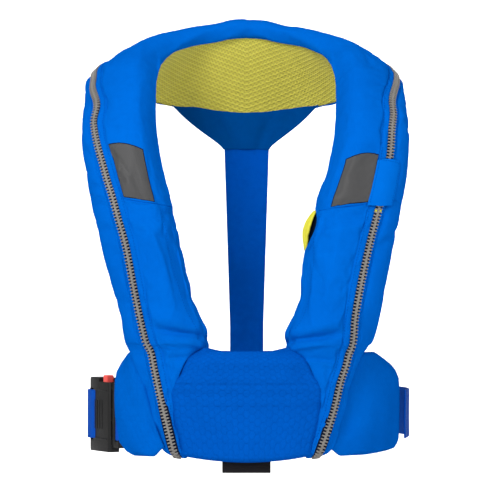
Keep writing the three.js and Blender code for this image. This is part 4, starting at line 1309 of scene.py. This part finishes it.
def build_panel():
    length, width = 118.0, 140.0

    def place(r, c):
        near = PANEL_TOP * r
        band = band_at(max(near, 0.02))
        edge = panel_rim(near)
        half = edge[0]
        x = half * (2 * c - 1)
        share = abs(2 * c - 1)
        rise = 0.42 + 0.58 * math.sin(math.pi * min(1.0, 0.16 + 0.62 * r))
        belly = 14.5 * rise * (1 - share ** 2.6)
        crown = 1.6 * noise.noise(Vector((x * 0.035, near * 0.9, 4.2))) * (1 - share ** 4)
        side = 1 if x > 0 else -1
        pull = 2.2 * bump_at(near, 1.55 + 0.25 * side, 0.3) * bump_at(share, 0.82, 0.13)
        low = 1.8 * bump_at(near, 0.55, 0.28) * bump_at(2 * c - 1, -0.62, 0.2)
        ridge = 0.9 * math.sin(3.0 * near + 2.6 * c) * (1 - share ** 3)
        y = edge[1] - belly - crown + pull + low - ridge * 0.6
        sag = 7.0 * (1 - share ** 2) * smooth(0.9, 1.0, r)
        drop = 8.0 * (1 - share ** 2) * (1 - smooth(0.0, 0.12, r))
        z = edge[2] - sag - drop
        body = band.start[1] - 2.5 - 3.0 * (1 - share ** 2)
        thick = max(3.0, body - y)
        relief = HEX_DEEP * hex_relief(x, z) * smooth(0.0, 0.05, min(r, 1 - r, c, 1 - c))
        front = np.array((x, y - relief, z))
        return front + np.array((0.0, thick, 0.0)), FORWARD, thick

    panel = layer("chest_panel_cloth", length, width, (150, 170), 5.0, place)
    dress(panel, "panel")
    finish_piece(panel, "cover_fabric", "root", "chest_panel")
    stitch_edges("panel_thread", place, [(k / 70, 0.035) for k in range(3, 68)],
                 [(k / 70, 0.965) for k in range(3, 68)])


def stitch_edges(name, place, *lines):
    """Rows of thread that follow lines on a layer's face."""
    frames = []
    for line in lines:
        points, normals = [], []
        for r, c in line:
            point, normal, thick = place(r, c)
            points.append(point + normal * (thick - 0.05))
            normals.append(normal)
        frames.extend(stitch_row(points, normals, 3.0))
    obj = copies(name, thread_shape(), frames)
    face_outwards(obj)
    dress(obj, "thread")
    finish_piece(obj, "cover_fabric", "root")


WING_ROWS = (-343, -339, -330, -305, -280, -268, -259, -250, -239)
WING_STATIONS = (0.05, 0.12, 0.3, 0.8, 1.3, 1.55, 1.75, 2.0, 2.45)
WING_REACH = {"right": (48, 74, 81.5, 83, 84.5, 83, 75, 65, 54),
              "left": (42, 46.5, 50.5, 52.8, 52.8, 52.8, 52, 49.5, 45)}
WING_LIFT = {"right": 8.0, "left": 15.0}
WING_THICK = 9.5


def phi_at(x, n):
    low, high = 0.0, math.pi / 2
    for _ in range(26):
        middle = (low + high) / 2
        if torso_point(middle, n)[0] < x:
            low = middle
        else:
            high = middle
    return low


def build_wing(side):
    sign = -1 if side == "left" else 1
    lift = WING_LIFT[side]
    rows = np.array(WING_ROWS, float)
    starts = []
    for station in WING_STATIONS:
        edge = curve_point(OUTER, station)
        band = band_at(station)
        starts.append(phi_at(edge[0] + band.out[0] * (lift + 4) - 5.5, lift + 4))
    reach = np.radians(WING_REACH[side])

    def place(r, c):
        share = r
        z = rows[0] + (rows[-1] - rows[0]) * share
        begin = float(np.interp(z, rows, starts))
        end = max(float(np.interp(z, rows, reach)), begin + 0.03)
        phi = begin + (end - begin) * c
        tall = math.sin(math.pi * min(1.0, max(0.0, 0.08 + 0.84 * share))) ** 0.5
        plump = WING_THICK * (0.5 + 0.5 * math.sin(math.pi * min(1, 0.18 + 0.8 * c))) * (0.45 + 0.55 * tall)
        wave = 1.5 * noise.noise(Vector((phi * 5.5, z * 0.03, 2.0 + 5 * sign)))
        near_zip = -2.6 * bump_at(c, 0.1, 0.07) * bump_at(share, 0.25 if sign < 0 else 0.3, 0.14)
        diagonal = 1.1 * math.sin(6.2 * (c - share) + sign) * math.sin(math.pi * c)
        plump = max(3.0, plump + wave + near_zip + diagonal)
        foot = torso_point(phi, lift)
        top = torso_point(phi, lift + 1)
        normal = np.array((sign * (top[0] - foot[0]), top[1] - foot[1], 0.0))
        relief = 0.24 * hex_relief(phi * 150, z) * smooth(0.0, 0.06, min(r, 1 - r, c, 1 - c))
        raised = 9.0 * (1 - smooth(0.0, 0.35, c)) * max(0.0, 1 - share / 0.25)
        return np.array((sign * foot[0], foot[1], z + raised)), normal, plump + relief

    wing = layer("wing_cloth_" + side, 100, 90 if side == "right" else 60, (110, 100), 4.0, place)
    dress(wing, "wing")
    finish_piece(wing, "cover_fabric", "root", "wing_" + side)
    stitch_edges("wing_thread_" + side, place, [(k / 60, 0.93) for k in range(5, 56)])


def build_wings():
    build_wing("right")
    build_wing("left")


# ---------- strap, belt and webbing loops ----------

STRAP_TOP, STRAP_END = -28.0, -262.0
BELT_PATH = ((163, -31), (165.6, -14), (168.6, 8), (166, 34), (156, 60), (132, 86), (92, 105), (44, 113),
             (0, 115), (-44, 113), (-92, 105), (-132, 85), (-154, 54), (-163, 22), (-161, 6))
BELT_HEIGHT = -305.0
WEBBING_WIDTH, WEBBING_THICK = 50.0, 2.0
BACK_EDGE = 100.0          # how far back the collar's lower edge stands
BELT_BACK = 115.0          # how far back the belt stands


def strap_depth(z):
    share = min(1.0, max(0.0, (STRAP_TOP - z) / (STRAP_TOP - STRAP_END)))
    return (BACK_EDGE + 1) * (1 - share) + BELT_BACK * share + 6 * math.sin(math.pi * share)


def build_strap():
    top, foot = STRAP_TOP + 3, -275.6

    def place(r, c):
        z = top + (foot - top) * r
        width = 48 - 12 * min(1.0, r * 1.3)
        x = (c - 0.5) * width
        bow = 0.5 * noise.noise(Vector((x * 0.05, z * 0.02, 7.0))) - 0.6 * (2 * c - 1) ** 2
        pucker = 0.5 * bump_at(r, 0.955, 0.006) + 0.5 * bump_at(r, 0.978, 0.006)
        return np.array((x, strap_depth(z) + 1.0 + pucker, z)), FORWARD, 2.2 + bow

    strap = layer("back_strap_cloth", top - foot, 40, (150, 18), 1.1, place)
    dress(strap, "strap")
    finish_piece(strap, "strap_fabric", "root", "back_strap")
    lines = [[(r, k / 20) for k in range(2, 19)] for r in (0.955, 0.978)]
    lines += [[(k / 90, c) for k in range(2, 86)] for c in (0.06, 0.94)]
    stitch_edges("strap_thread", place, *lines)


def build_gusset():
    reach = 0.94

    def place(r, c):
        s = BACK - reach + 2 * reach * c
        edge = curve_point(OUTER, s)
        spread = abs(s - BACK) / reach
        top = edge[2] + 8.0
        foot = STRAP_TOP + (top - 10 - STRAP_TOP) * (max(0.0, spread - 0.3) / 0.7) ** 0.72
        z = top + (foot - top) * r
        x = edge[0] * (1 - 0.12 * spread * r)
        y = edge[1] + (BACK_EDGE - edge[1]) * min(1.0, max(0.0, (top - z) / (top - STRAP_TOP)))
        pleat = bump_at(c, 0.33 + 0.1 * r, 0.035) + bump_at(c, 0.69 - 0.12 * r, 0.03)
        fold = 1.1 * math.sin(math.pi * r) * math.cos(5.2 * (c - 0.5))
        fold += 0.8 * noise.noise(Vector((c * 7, r, 1)))
        fold -= 1.8 * pleat * smooth(0.0, 0.3, r)
        return np.array((x, y - 0.4 - fold, z)), FORWARD, 2.2

    gusset = layer("strap_gusset_cloth", 38, 118, (26, 90), 1.1, place)
    dress(gusset, "gusset")
    finish_piece(gusset, "strap_fabric", "root", "strap_gusset")


def spline(points, t):
    """A point of the smooth path through flat points, t from 0 to 1."""
    path = np.array([(x, y, 0.0) for x, y in points])
    return curve_point(path, t * (len(path) - 1))


def build_belt():
    def place(r, c):
        here = spline(BELT_PATH, r)
        ahead, behind = spline(BELT_PATH, min(1, r + 0.003)), spline(BELT_PATH, max(0, r - 0.003))
        run = unit(ahead - behind)
        outward = np.array((run[1], -run[0], 0.0))
        if outward[0] * here[0] + outward[1] * here[1] < 0:
            outward = -outward
        wave = 0.35 * noise.noise(Vector((r * 30, c * 1.5, 6.0)))
        height = BELT_HEIGHT + (c - 0.5) * WEBBING_WIDTH
        face = here - outward * (WEBBING_THICK / 2 - wave) + np.array((0, 0, height))
        return face, outward, WEBBING_THICK

    belt = layer("belt_cloth", 520, WEBBING_WIDTH, (190, 14), 0.9, place)
    dress(belt, "belt")
    finish_piece(belt, "blue_webbing", "root", "belt_webbing")


def flat_loop(name, half_long, half_thick, width, thick, place_at, counts=(72, 12)):
    """A closed band of webbing round a bar: an oblong seen from its side, made as a layer and joined up."""
    radius = half_thick
    straight = half_long - radius

    def oblong(t):
        around = 4 * straight + 2 * math.pi * radius
        d = (t % 1.0) * around
        if d < 2 * straight:
            return np.array((straight - d, radius)), np.array((0.0, 1.0))
        d -= 2 * straight
        if d < math.pi * radius:
            a = math.pi / 2 + d / radius
            return np.array((-straight + radius * math.cos(a), radius * math.sin(a))), np.array(
                (math.cos(a), math.sin(a)))
        d -= math.pi * radius
        if d < 2 * straight:
            return np.array((-straight + d, -radius)), np.array((0.0, -1.0))
        d -= 2 * straight
        a = -math.pi / 2 + d / radius
        return np.array((straight + radius * math.cos(a), radius * math.sin(a))), np.array(
            (math.cos(a), math.sin(a)))

    def place(r, c):
        flat, out = oblong(0.25 + r * 0.992)
        along = (c - 0.5) * width
        point = place_at(np.array((*flat, along)))
        ahead = place_at(np.array((*(flat + out), along)))
        return point, unit(ahead - point), thick

    around = 4 * straight + 2 * math.pi * radius
    return layer(name, around, width, counts, 0.8, place), around


def build_loops():
    def at_back(p):
        return np.array((p[2], BELT_BACK + p[1], BELT_HEIGHT + p[0]))

    loop, around = flat_loop("strap_loop_cloth", 27.2, 2.3, 36, 1.7, at_back)
    dress(loop, "strap")
    finish_piece(loop, "strap_fabric", "root", "strap_loop")

    def at_buckle(x_middle):
        def put(p):
            return buckle_point(x_middle + p[0], p[1], p[2])
        return put

    rear, around = flat_loop("belt_end_cloth", 9.6, 7.2, 50, 1.7, at_buckle(17.2), (90, 12))
    dress(rear, "belt")
    finish_piece(rear, "blue_webbing", "root", "belt_end_loop")
    front, around = flat_loop("male_end_cloth", 2.6, 4.4, 50, 1.7, at_buckle(-35.3), (70, 12))
    dress(front, "belt")
    finish_piece(front, "blue_webbing", "male", "male_loop")

    edge = curve_point(INNER, 0.02)

    def at_hem(p):
        return np.array((p[2], edge[1] - 12 + p[1], edge[2] - 0.4 - 6.5 + p[0]))

    tab, around = flat_loop("hem_tab_cloth", 6.0, 1.3, 48.5, 1.4, at_hem, (60, 14))
    dress(tab, "black_web")
    finish_piece(tab, "black_webbing", "root", "hem_tab")


# ---------- buckle and other hard parts ----------

BUCKLE_AT = np.array((-146.0, -28.0, BELT_HEIGHT))
BUCKLE_X = np.array((-0.5, math.sqrt(3) / 2, 0.0))     # rearwards along the belt
BUCKLE_Y = np.array((-math.sqrt(3) / 2, -0.5, 0.0))    # away from the wearer


def buckle_point(x, y, z):
    return BUCKLE_AT + BUCKLE_X * x + BUCKLE_Y * y + np.array((0.0, 0.0, z))


def softened(node, name, width, finish, slot, body, angle=38, notches=()):
    """A copy of a hard CAD piece with its flat faces merged and its edges rounded."""
    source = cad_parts[node]
    bpy.ops.object.select_all(action="DESELECT")
    obj = bpy.data.objects.new(name, source.data.copy())
    obj.data.name = name
    bpy.context.scene.collection.objects.link(obj)
    obj.data.transform(source.matrix_world)
    obj.data.materials.clear()
    only(obj)
    bpy.ops.object.mode_set(mode="EDIT")
    bpy.ops.mesh.select_all(action="SELECT")
    bpy.ops.mesh.remove_doubles(threshold=1e-5)
    bpy.ops.mesh.dissolve_limited(angle_limit=math.radians(1.5))
    bpy.ops.object.mode_set(mode="OBJECT")
    for notch in notches:
        apply_modifier(obj, "BOOLEAN", operation="DIFFERENCE", solver="EXACT", object=notch)
        bpy.data.objects.remove(notch)
    apply_modifier(obj, "BEVEL", width=width * MM, segments=3, limit_method="ANGLE",
                   angle_limit=math.radians(angle))
    shade_smooth(obj, 40)
    dress(obj, finish)
    finish_piece(obj, slot, body, node)
    return obj


def buckle_block(name, centre, size, bevel):
    """A rounded block in the buckle's own axes, from a cube."""
    bpy.ops.object.select_all(action="DESELECT")
    bpy.ops.mesh.primitive_cube_add(size=1)
    obj = bpy.context.object
    obj.name = obj.data.name = name
    for v in obj.data.vertices:
        v.co = (v.co.x * size[0] * MM, v.co.y * size[1] * MM, v.co.z * size[2] * MM)
    apply_modifier(obj, "BEVEL", width=bevel * MM, segments=3, limit_method="ANGLE")
    for v in obj.data.vertices:
        local = np.array(v.co) / MM + centre
        v.co = Vector(buckle_point(*local) * MM)
    obj.data.update()
    return obj


def build_buckle():
    softened("buckle_female", "buckle_body", 1.1, "black", "black_plastic", "root", 30,
             [buckle_block("notch", (-13.0, 4.5, 40), (26.0, 14.0, 13.0), 0.5)])
    extras = [buckle_block("face_ridge", (-6 + 5.2 * k, 6.6, 0), (1.6, 1.0, 30), 0.4) for k in range(4)]
    extras += [buckle_block("face_frame", (-1.5, 6.55, sign * 25), (30, 0.9, 1.8), 0.4) for sign in (-1, 1)]
    trims = join(extras)
    trims.name = trims.data.name = "buckle_ribs"
    face_outwards(trims)
    shade_smooth(trims, 40)
    dress(trims, "black")
    finish_piece(trims, "black_plastic", "root")
    softened("buckle_male", "buckle_insert", 0.7, "black", "black_plastic", "male")
    softened("prong_lower", "prong_arm_lower", 0.7, "black", "red_plastic", "prong_down")
    prong = softened("prong_upper", "prong_arm_upper", 0.7, "black", "red_plastic", "prong_up")
    join([prong, dress(buckle_block("release_pad", (-10.5, 1.0, 35.6), (9.0, 8.4, 10.2), 1.4), "red")])


def build_inner_parts():
    """Inflator, oral tube, whistle and the zip's slider, with rounded edges."""
    for node, width, finish, slot, body in (
            ("inflator_body", 0.9, "black", "black_plastic", "root"),
            ("firing_lever", 0.5, "red", "red_plastic", "lever"),
            ("auto_cap", 0.4, "black", "black_plastic", "cap"),
            ("co2_cylinder", 0.5, "steel", "steel", "cylinder"),
            ("oral_valve", 0.4, "black", "black_plastic", "root"),
            ("oral_cap", 0.5, "red", "red_plastic", "valve_cap"),
            ("whistle", 0.8, "yellow", "whistle_plastic", "root"),
            ("zip_slider", 0.5, "teeth", "zip", "slider"),
            ("zip_pull", 0.4, "teeth", "zip", "pull")):
        softened(node, node + "_moulded", width, finish, slot, body)
    for node, finish in (("seal_washer", "rubber"), ("oral_tube", "rubber"), ("oral_poppet", "black"),
                         ("lever_pin", "steel"), ("firing_pin", "steel")):
        dress(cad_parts[node], finish)


# ---------- stage ----------

def material_plain(name, color, roughness):
    f = Finish(name, roughness, specular=0.2)
    f.tone(color, tinted(color, 0.97), 0.5)
    return f.material


def area_light(name, place, target, size, power):
    data = bpy.data.lights.new(name, "AREA")
    data.shape, data.size, data.size_y, data.energy = "RECTANGLE", size[0], size[1], power
    obj = bpy.data.objects.new(name, data)
    bpy.context.scene.collection.objects.link(obj)
    obj.location = place
    direction = Vector(target) - Vector(place)
    obj.rotation_euler = direction.to_track_quat("-Z", "Y").to_euler()
    return obj


class JacketStyle(bpy.types.PropertyGroup):
    """Colours and softness of the jacket."""
    cover_color: bpy.props.FloatVectorProperty(
        name="Cover colour", description="Colour of the nylon cover", subtype="COLOR",
        default=(0.0001, 0.100, 0.47), min=0, max=1)
    cover_shade: bpy.props.FloatVectorProperty(
        name="Cover shade", description="Deeper tone that drifts over the cover", subtype="COLOR",
        default=(0.0001, 0.080, 0.395), min=0, max=1)
    strap_color: bpy.props.FloatVectorProperty(
        name="Strap colour", description="Colour of the back strap and the waist webbing", subtype="COLOR",
        default=(0.0001, 0.068, 0.42), min=0, max=1)
    cover_pressure: bpy.props.FloatProperty(
        name="Cover pressure", description="Pressure that fills the cover between its seams", default=1.2,
        min=0)
    cover_growth: bpy.props.FloatProperty(
        name="Cover slack", description="Spare cloth between the seams", default=0.035, min=0, max=0.2)


class StageSettings(bpy.types.PropertyGroup):
    """Camera and floor."""
    camera_distance: bpy.props.FloatProperty(
        name="Camera distance", description="From the camera to the jacket's middle plane", default=3.0,
        unit="LENGTH")
    camera_height: bpy.props.FloatProperty(
        name="Camera height", description="Height of the camera above the neck opening", default=-0.136,
        unit="LENGTH")
    view_width: bpy.props.FloatProperty(
        name="View width", description="Width of the view at the jacket's middle plane", default=0.52,
        unit="LENGTH")
    floor_height: bpy.props.FloatProperty(
        name="Floor height", description="Height of the floor below the jacket", default=-0.62,
        unit="LENGTH")


JACKET_MIDDLE = (0, 0, -0.12)
# Each light's name, place, target, size in metres and power in watts.
LIGHTS = (
    ("key", (-1.2, -2.0, 1.2), JACKET_MIDDLE, (1.0, 1.0), 62),
    ("fill", (1.8, -1.8, 0.3), JACKET_MIDDLE, (1.6, 1.6), 26),
    ("top", (0.0, -0.2, 2.1), JACKET_MIDDLE, (1.6, 1.2), 12),
    ("backdrop", (0, 1.8, 1.8), (0, 4.5, 0.2), (3, 1.5), 150),
)
WORLD_LIGHT = 0.45         # strength of the light from all round
CAMERA_ASIDE = 0.0036      # the camera's place to the side of the middle
FLOOR_SIZE, FLOOR_FRONT, WALL_HIGH = 9.0, 4.4, 5


def build_stage():
    settings = bpy.context.scene.jacket_stage
    scene = bpy.context.scene
    bpy.ops.object.select_all(action="DESELECT")
    bpy.ops.mesh.primitive_plane_add(size=FLOOR_SIZE, location=(0, FLOOR_SIZE / 2 - FLOOR_FRONT,
                                                                settings.floor_height))
    floor = bpy.context.object
    floor.name = "studio_floor"
    bpy.ops.object.mode_set(mode="EDIT")
    bpy.ops.mesh.select_all(action="DESELECT")
    bpy.ops.object.mode_set(mode="OBJECT")
    for edge in floor.data.edges:
        edge.select = all(floor.data.vertices[i].co.y > 0 for i in edge.vertices)
    bpy.context.tool_settings.mesh_select_mode = (False, True, False)
    bpy.ops.object.mode_set(mode="EDIT")
    bpy.ops.mesh.extrude_region_move(TRANSFORM_OT_translate={"value": (0, 0, WALL_HIGH)})
    bpy.ops.object.mode_set(mode="OBJECT")
    apply_modifier(floor, "BEVEL", width=1.2, segments=10, limit_method="ANGLE")
    shade_smooth(floor)
    floor.data.materials.append(material_plain("pale_floor", (0.86, 0.86, 0.865), 0.75))
    bpy.ops.object.transform_apply(location=True, rotation=True, scale=True)

    world = bpy.data.worlds.new("studio")
    world.use_nodes = True
    background = world.node_tree.nodes["Background"]
    background.inputs[0].default_value = (1.0, 1.0, 1.0, 1)
    background.inputs[1].default_value = WORLD_LIGHT
    scene.world = world
    for light in LIGHTS:
        area_light(*light)

    camera = bpy.data.cameras.new("camera")
    camera.sensor_width = 36
    camera.lens = 36 * settings.camera_distance / settings.view_width
    obj = bpy.data.objects.new("camera", camera)
    scene.collection.objects.link(obj)
    obj.location = (CAMERA_ASIDE, -settings.camera_distance, settings.camera_height)
    obj.rotation_euler = (math.pi / 2, 0, 0)
    scene.camera = obj
    scene.view_settings.view_transform = "Standard"


class JACKET_OT_stage(bpy.types.Operator):
    """Floor, backdrop, lights and camera"""
    bl_idname = "jacket.stage"
    bl_label = "Stage"

    def execute(self, context):
        build_stage()
        return {"FINISHED"}


class JACKET_OT_cover(bpy.types.Operator):
    """The padded horseshoe cover with its seams"""
    bl_idname = "jacket.cover"
    bl_label = "Cover"

    def execute(self, context):
        build_cover()
        return {"FINISHED"}


class JACKET_OT_liner(bpy.types.Operator):
    """Spacer mesh on the body side"""
    bl_idname = "jacket.liner"
    bl_label = "Liner"

    def execute(self, context):
        build_liner()
        return {"FINISHED"}


class JACKET_OT_bladder(bpy.types.Operator):
    """Folded bladders and the fold in the access window"""
    bl_idname = "jacket.bladder"
    bl_label = "Bladder"

    def execute(self, context):
        build_bladder()
        return {"FINISHED"}


class JACKET_OT_zip(bpy.types.Operator):
    """Zip teeth and the strip behind them"""
    bl_idname = "jacket.zip"
    bl_label = "Zip"

    def execute(self, context):
        build_zip()
        return {"FINISHED"}


class JACKET_OT_seams(bpy.types.Operator):
    """Stitches beside the cover's seams"""
    bl_idname = "jacket.seams"
    bl_label = "Seam thread"

    def execute(self, context):
        build_seams()
        return {"FINISHED"}


class JACKET_OT_patches(bpy.types.Operator):
    """Reflective patches with their borders"""
    bl_idname = "jacket.patches"
    bl_label = "Patches"

    def execute(self, context):
        build_patches()
        return {"FINISHED"}


class JACKET_OT_tab(bpy.types.Operator):
    """Folded tab over the zip and the pale stop below it"""
    bl_idname = "jacket.tab"
    bl_label = "Zip tab"

    def execute(self, context):
        build_tab()
        return {"FINISHED"}


class JACKET_OT_panel(bpy.types.Operator):
    """Padded chest panel with embossed hexagons"""
    bl_idname = "jacket.panel"
    bl_label = "Chest panel"

    def execute(self, context):
        build_panel()
        return {"FINISHED"}


class JACKET_OT_wings(bpy.types.Operator):
    """Padded waist wings on both sides"""
    bl_idname = "jacket.wings"
    bl_label = "Wings"

    def execute(self, context):
        build_wings()
        return {"FINISHED"}


class JACKET_OT_strap(bpy.types.Operator):
    """Strap down the back"""
    bl_idname = "jacket.strap"
    bl_label = "Back strap"

    def execute(self, context):
        build_strap()
        return {"FINISHED"}


class JACKET_OT_gusset(bpy.types.Operator):
    """Cloth that spreads the strap along the collar"""
    bl_idname = "jacket.gusset"
    bl_label = "Gusset"

    def execute(self, context):
        build_gusset()
        return {"FINISHED"}


class JACKET_OT_belt(bpy.types.Operator):
    """Waist webbing"""
    bl_idname = "jacket.belt"
    bl_label = "Belt"

    def execute(self, context):
        build_belt()
        return {"FINISHED"}


class JACKET_OT_loops(bpy.types.Operator):
    """Webbing folded round the belt, the buckle bars and the hem"""
    bl_idname = "jacket.loops"
    bl_label = "Loops"

    def execute(self, context):
        build_loops()
        return {"FINISHED"}


class JACKET_OT_buckle(bpy.types.Operator):
    """Side-release buckle with its insert, its prongs and a red release pad"""
    bl_idname = "jacket.buckle"
    bl_label = "Buckle"

    def execute(self, context):
        build_buckle()
        return {"FINISHED"}


class JACKET_OT_inner(bpy.types.Operator):
    """Inflator, oral tube, whistle and slider"""
    bl_idname = "jacket.inner"
    bl_label = "Inner parts"

    def execute(self, context):
        build_inner_parts()
        return {"FINISHED"}


OPERATORS = (JACKET_OT_stage, JACKET_OT_cover, JACKET_OT_liner, JACKET_OT_bladder,
             JACKET_OT_zip, JACKET_OT_seams, JACKET_OT_patches, JACKET_OT_tab,
             JACKET_OT_panel, JACKET_OT_wings, JACKET_OT_strap, JACKET_OT_gusset,
             JACKET_OT_belt, JACKET_OT_loops, JACKET_OT_buckle, JACKET_OT_inner)


class JACKET_PT_panel(bpy.types.Panel):
    """Lists the jacket's pieces"""
    bl_idname = "JACKET_PT_panel"
    bl_label = "Life Jacket"
    bl_space_type = "VIEW_3D"
    bl_region_type = "UI"
    bl_category = "Life Jacket"

    def draw(self, context):
        for operator in OPERATORS:
            self.layout.operator(operator.bl_idname)


CLASSES = (JacketStyle, StageSettings, *OPERATORS, JACKET_PT_panel)


def register():
    for cls in CLASSES:
        bpy.utils.register_class(cls)
    bpy.types.Scene.jacket_style = bpy.props.PointerProperty(type=JacketStyle)
    bpy.types.Scene.jacket_stage = bpy.props.PointerProperty(type=StageSettings)


def unregister():
    del bpy.types.Scene.jacket_stage
    del bpy.types.Scene.jacket_style
    for cls in reversed(CLASSES):
        bpy.utils.unregister_class(cls)


def main():
    register()
    for operator in OPERATORS:
        group, name = operator.bl_idname.split(".")
        getattr(getattr(bpy.ops, group), name)()


if __name__ == "__main__":
    main()
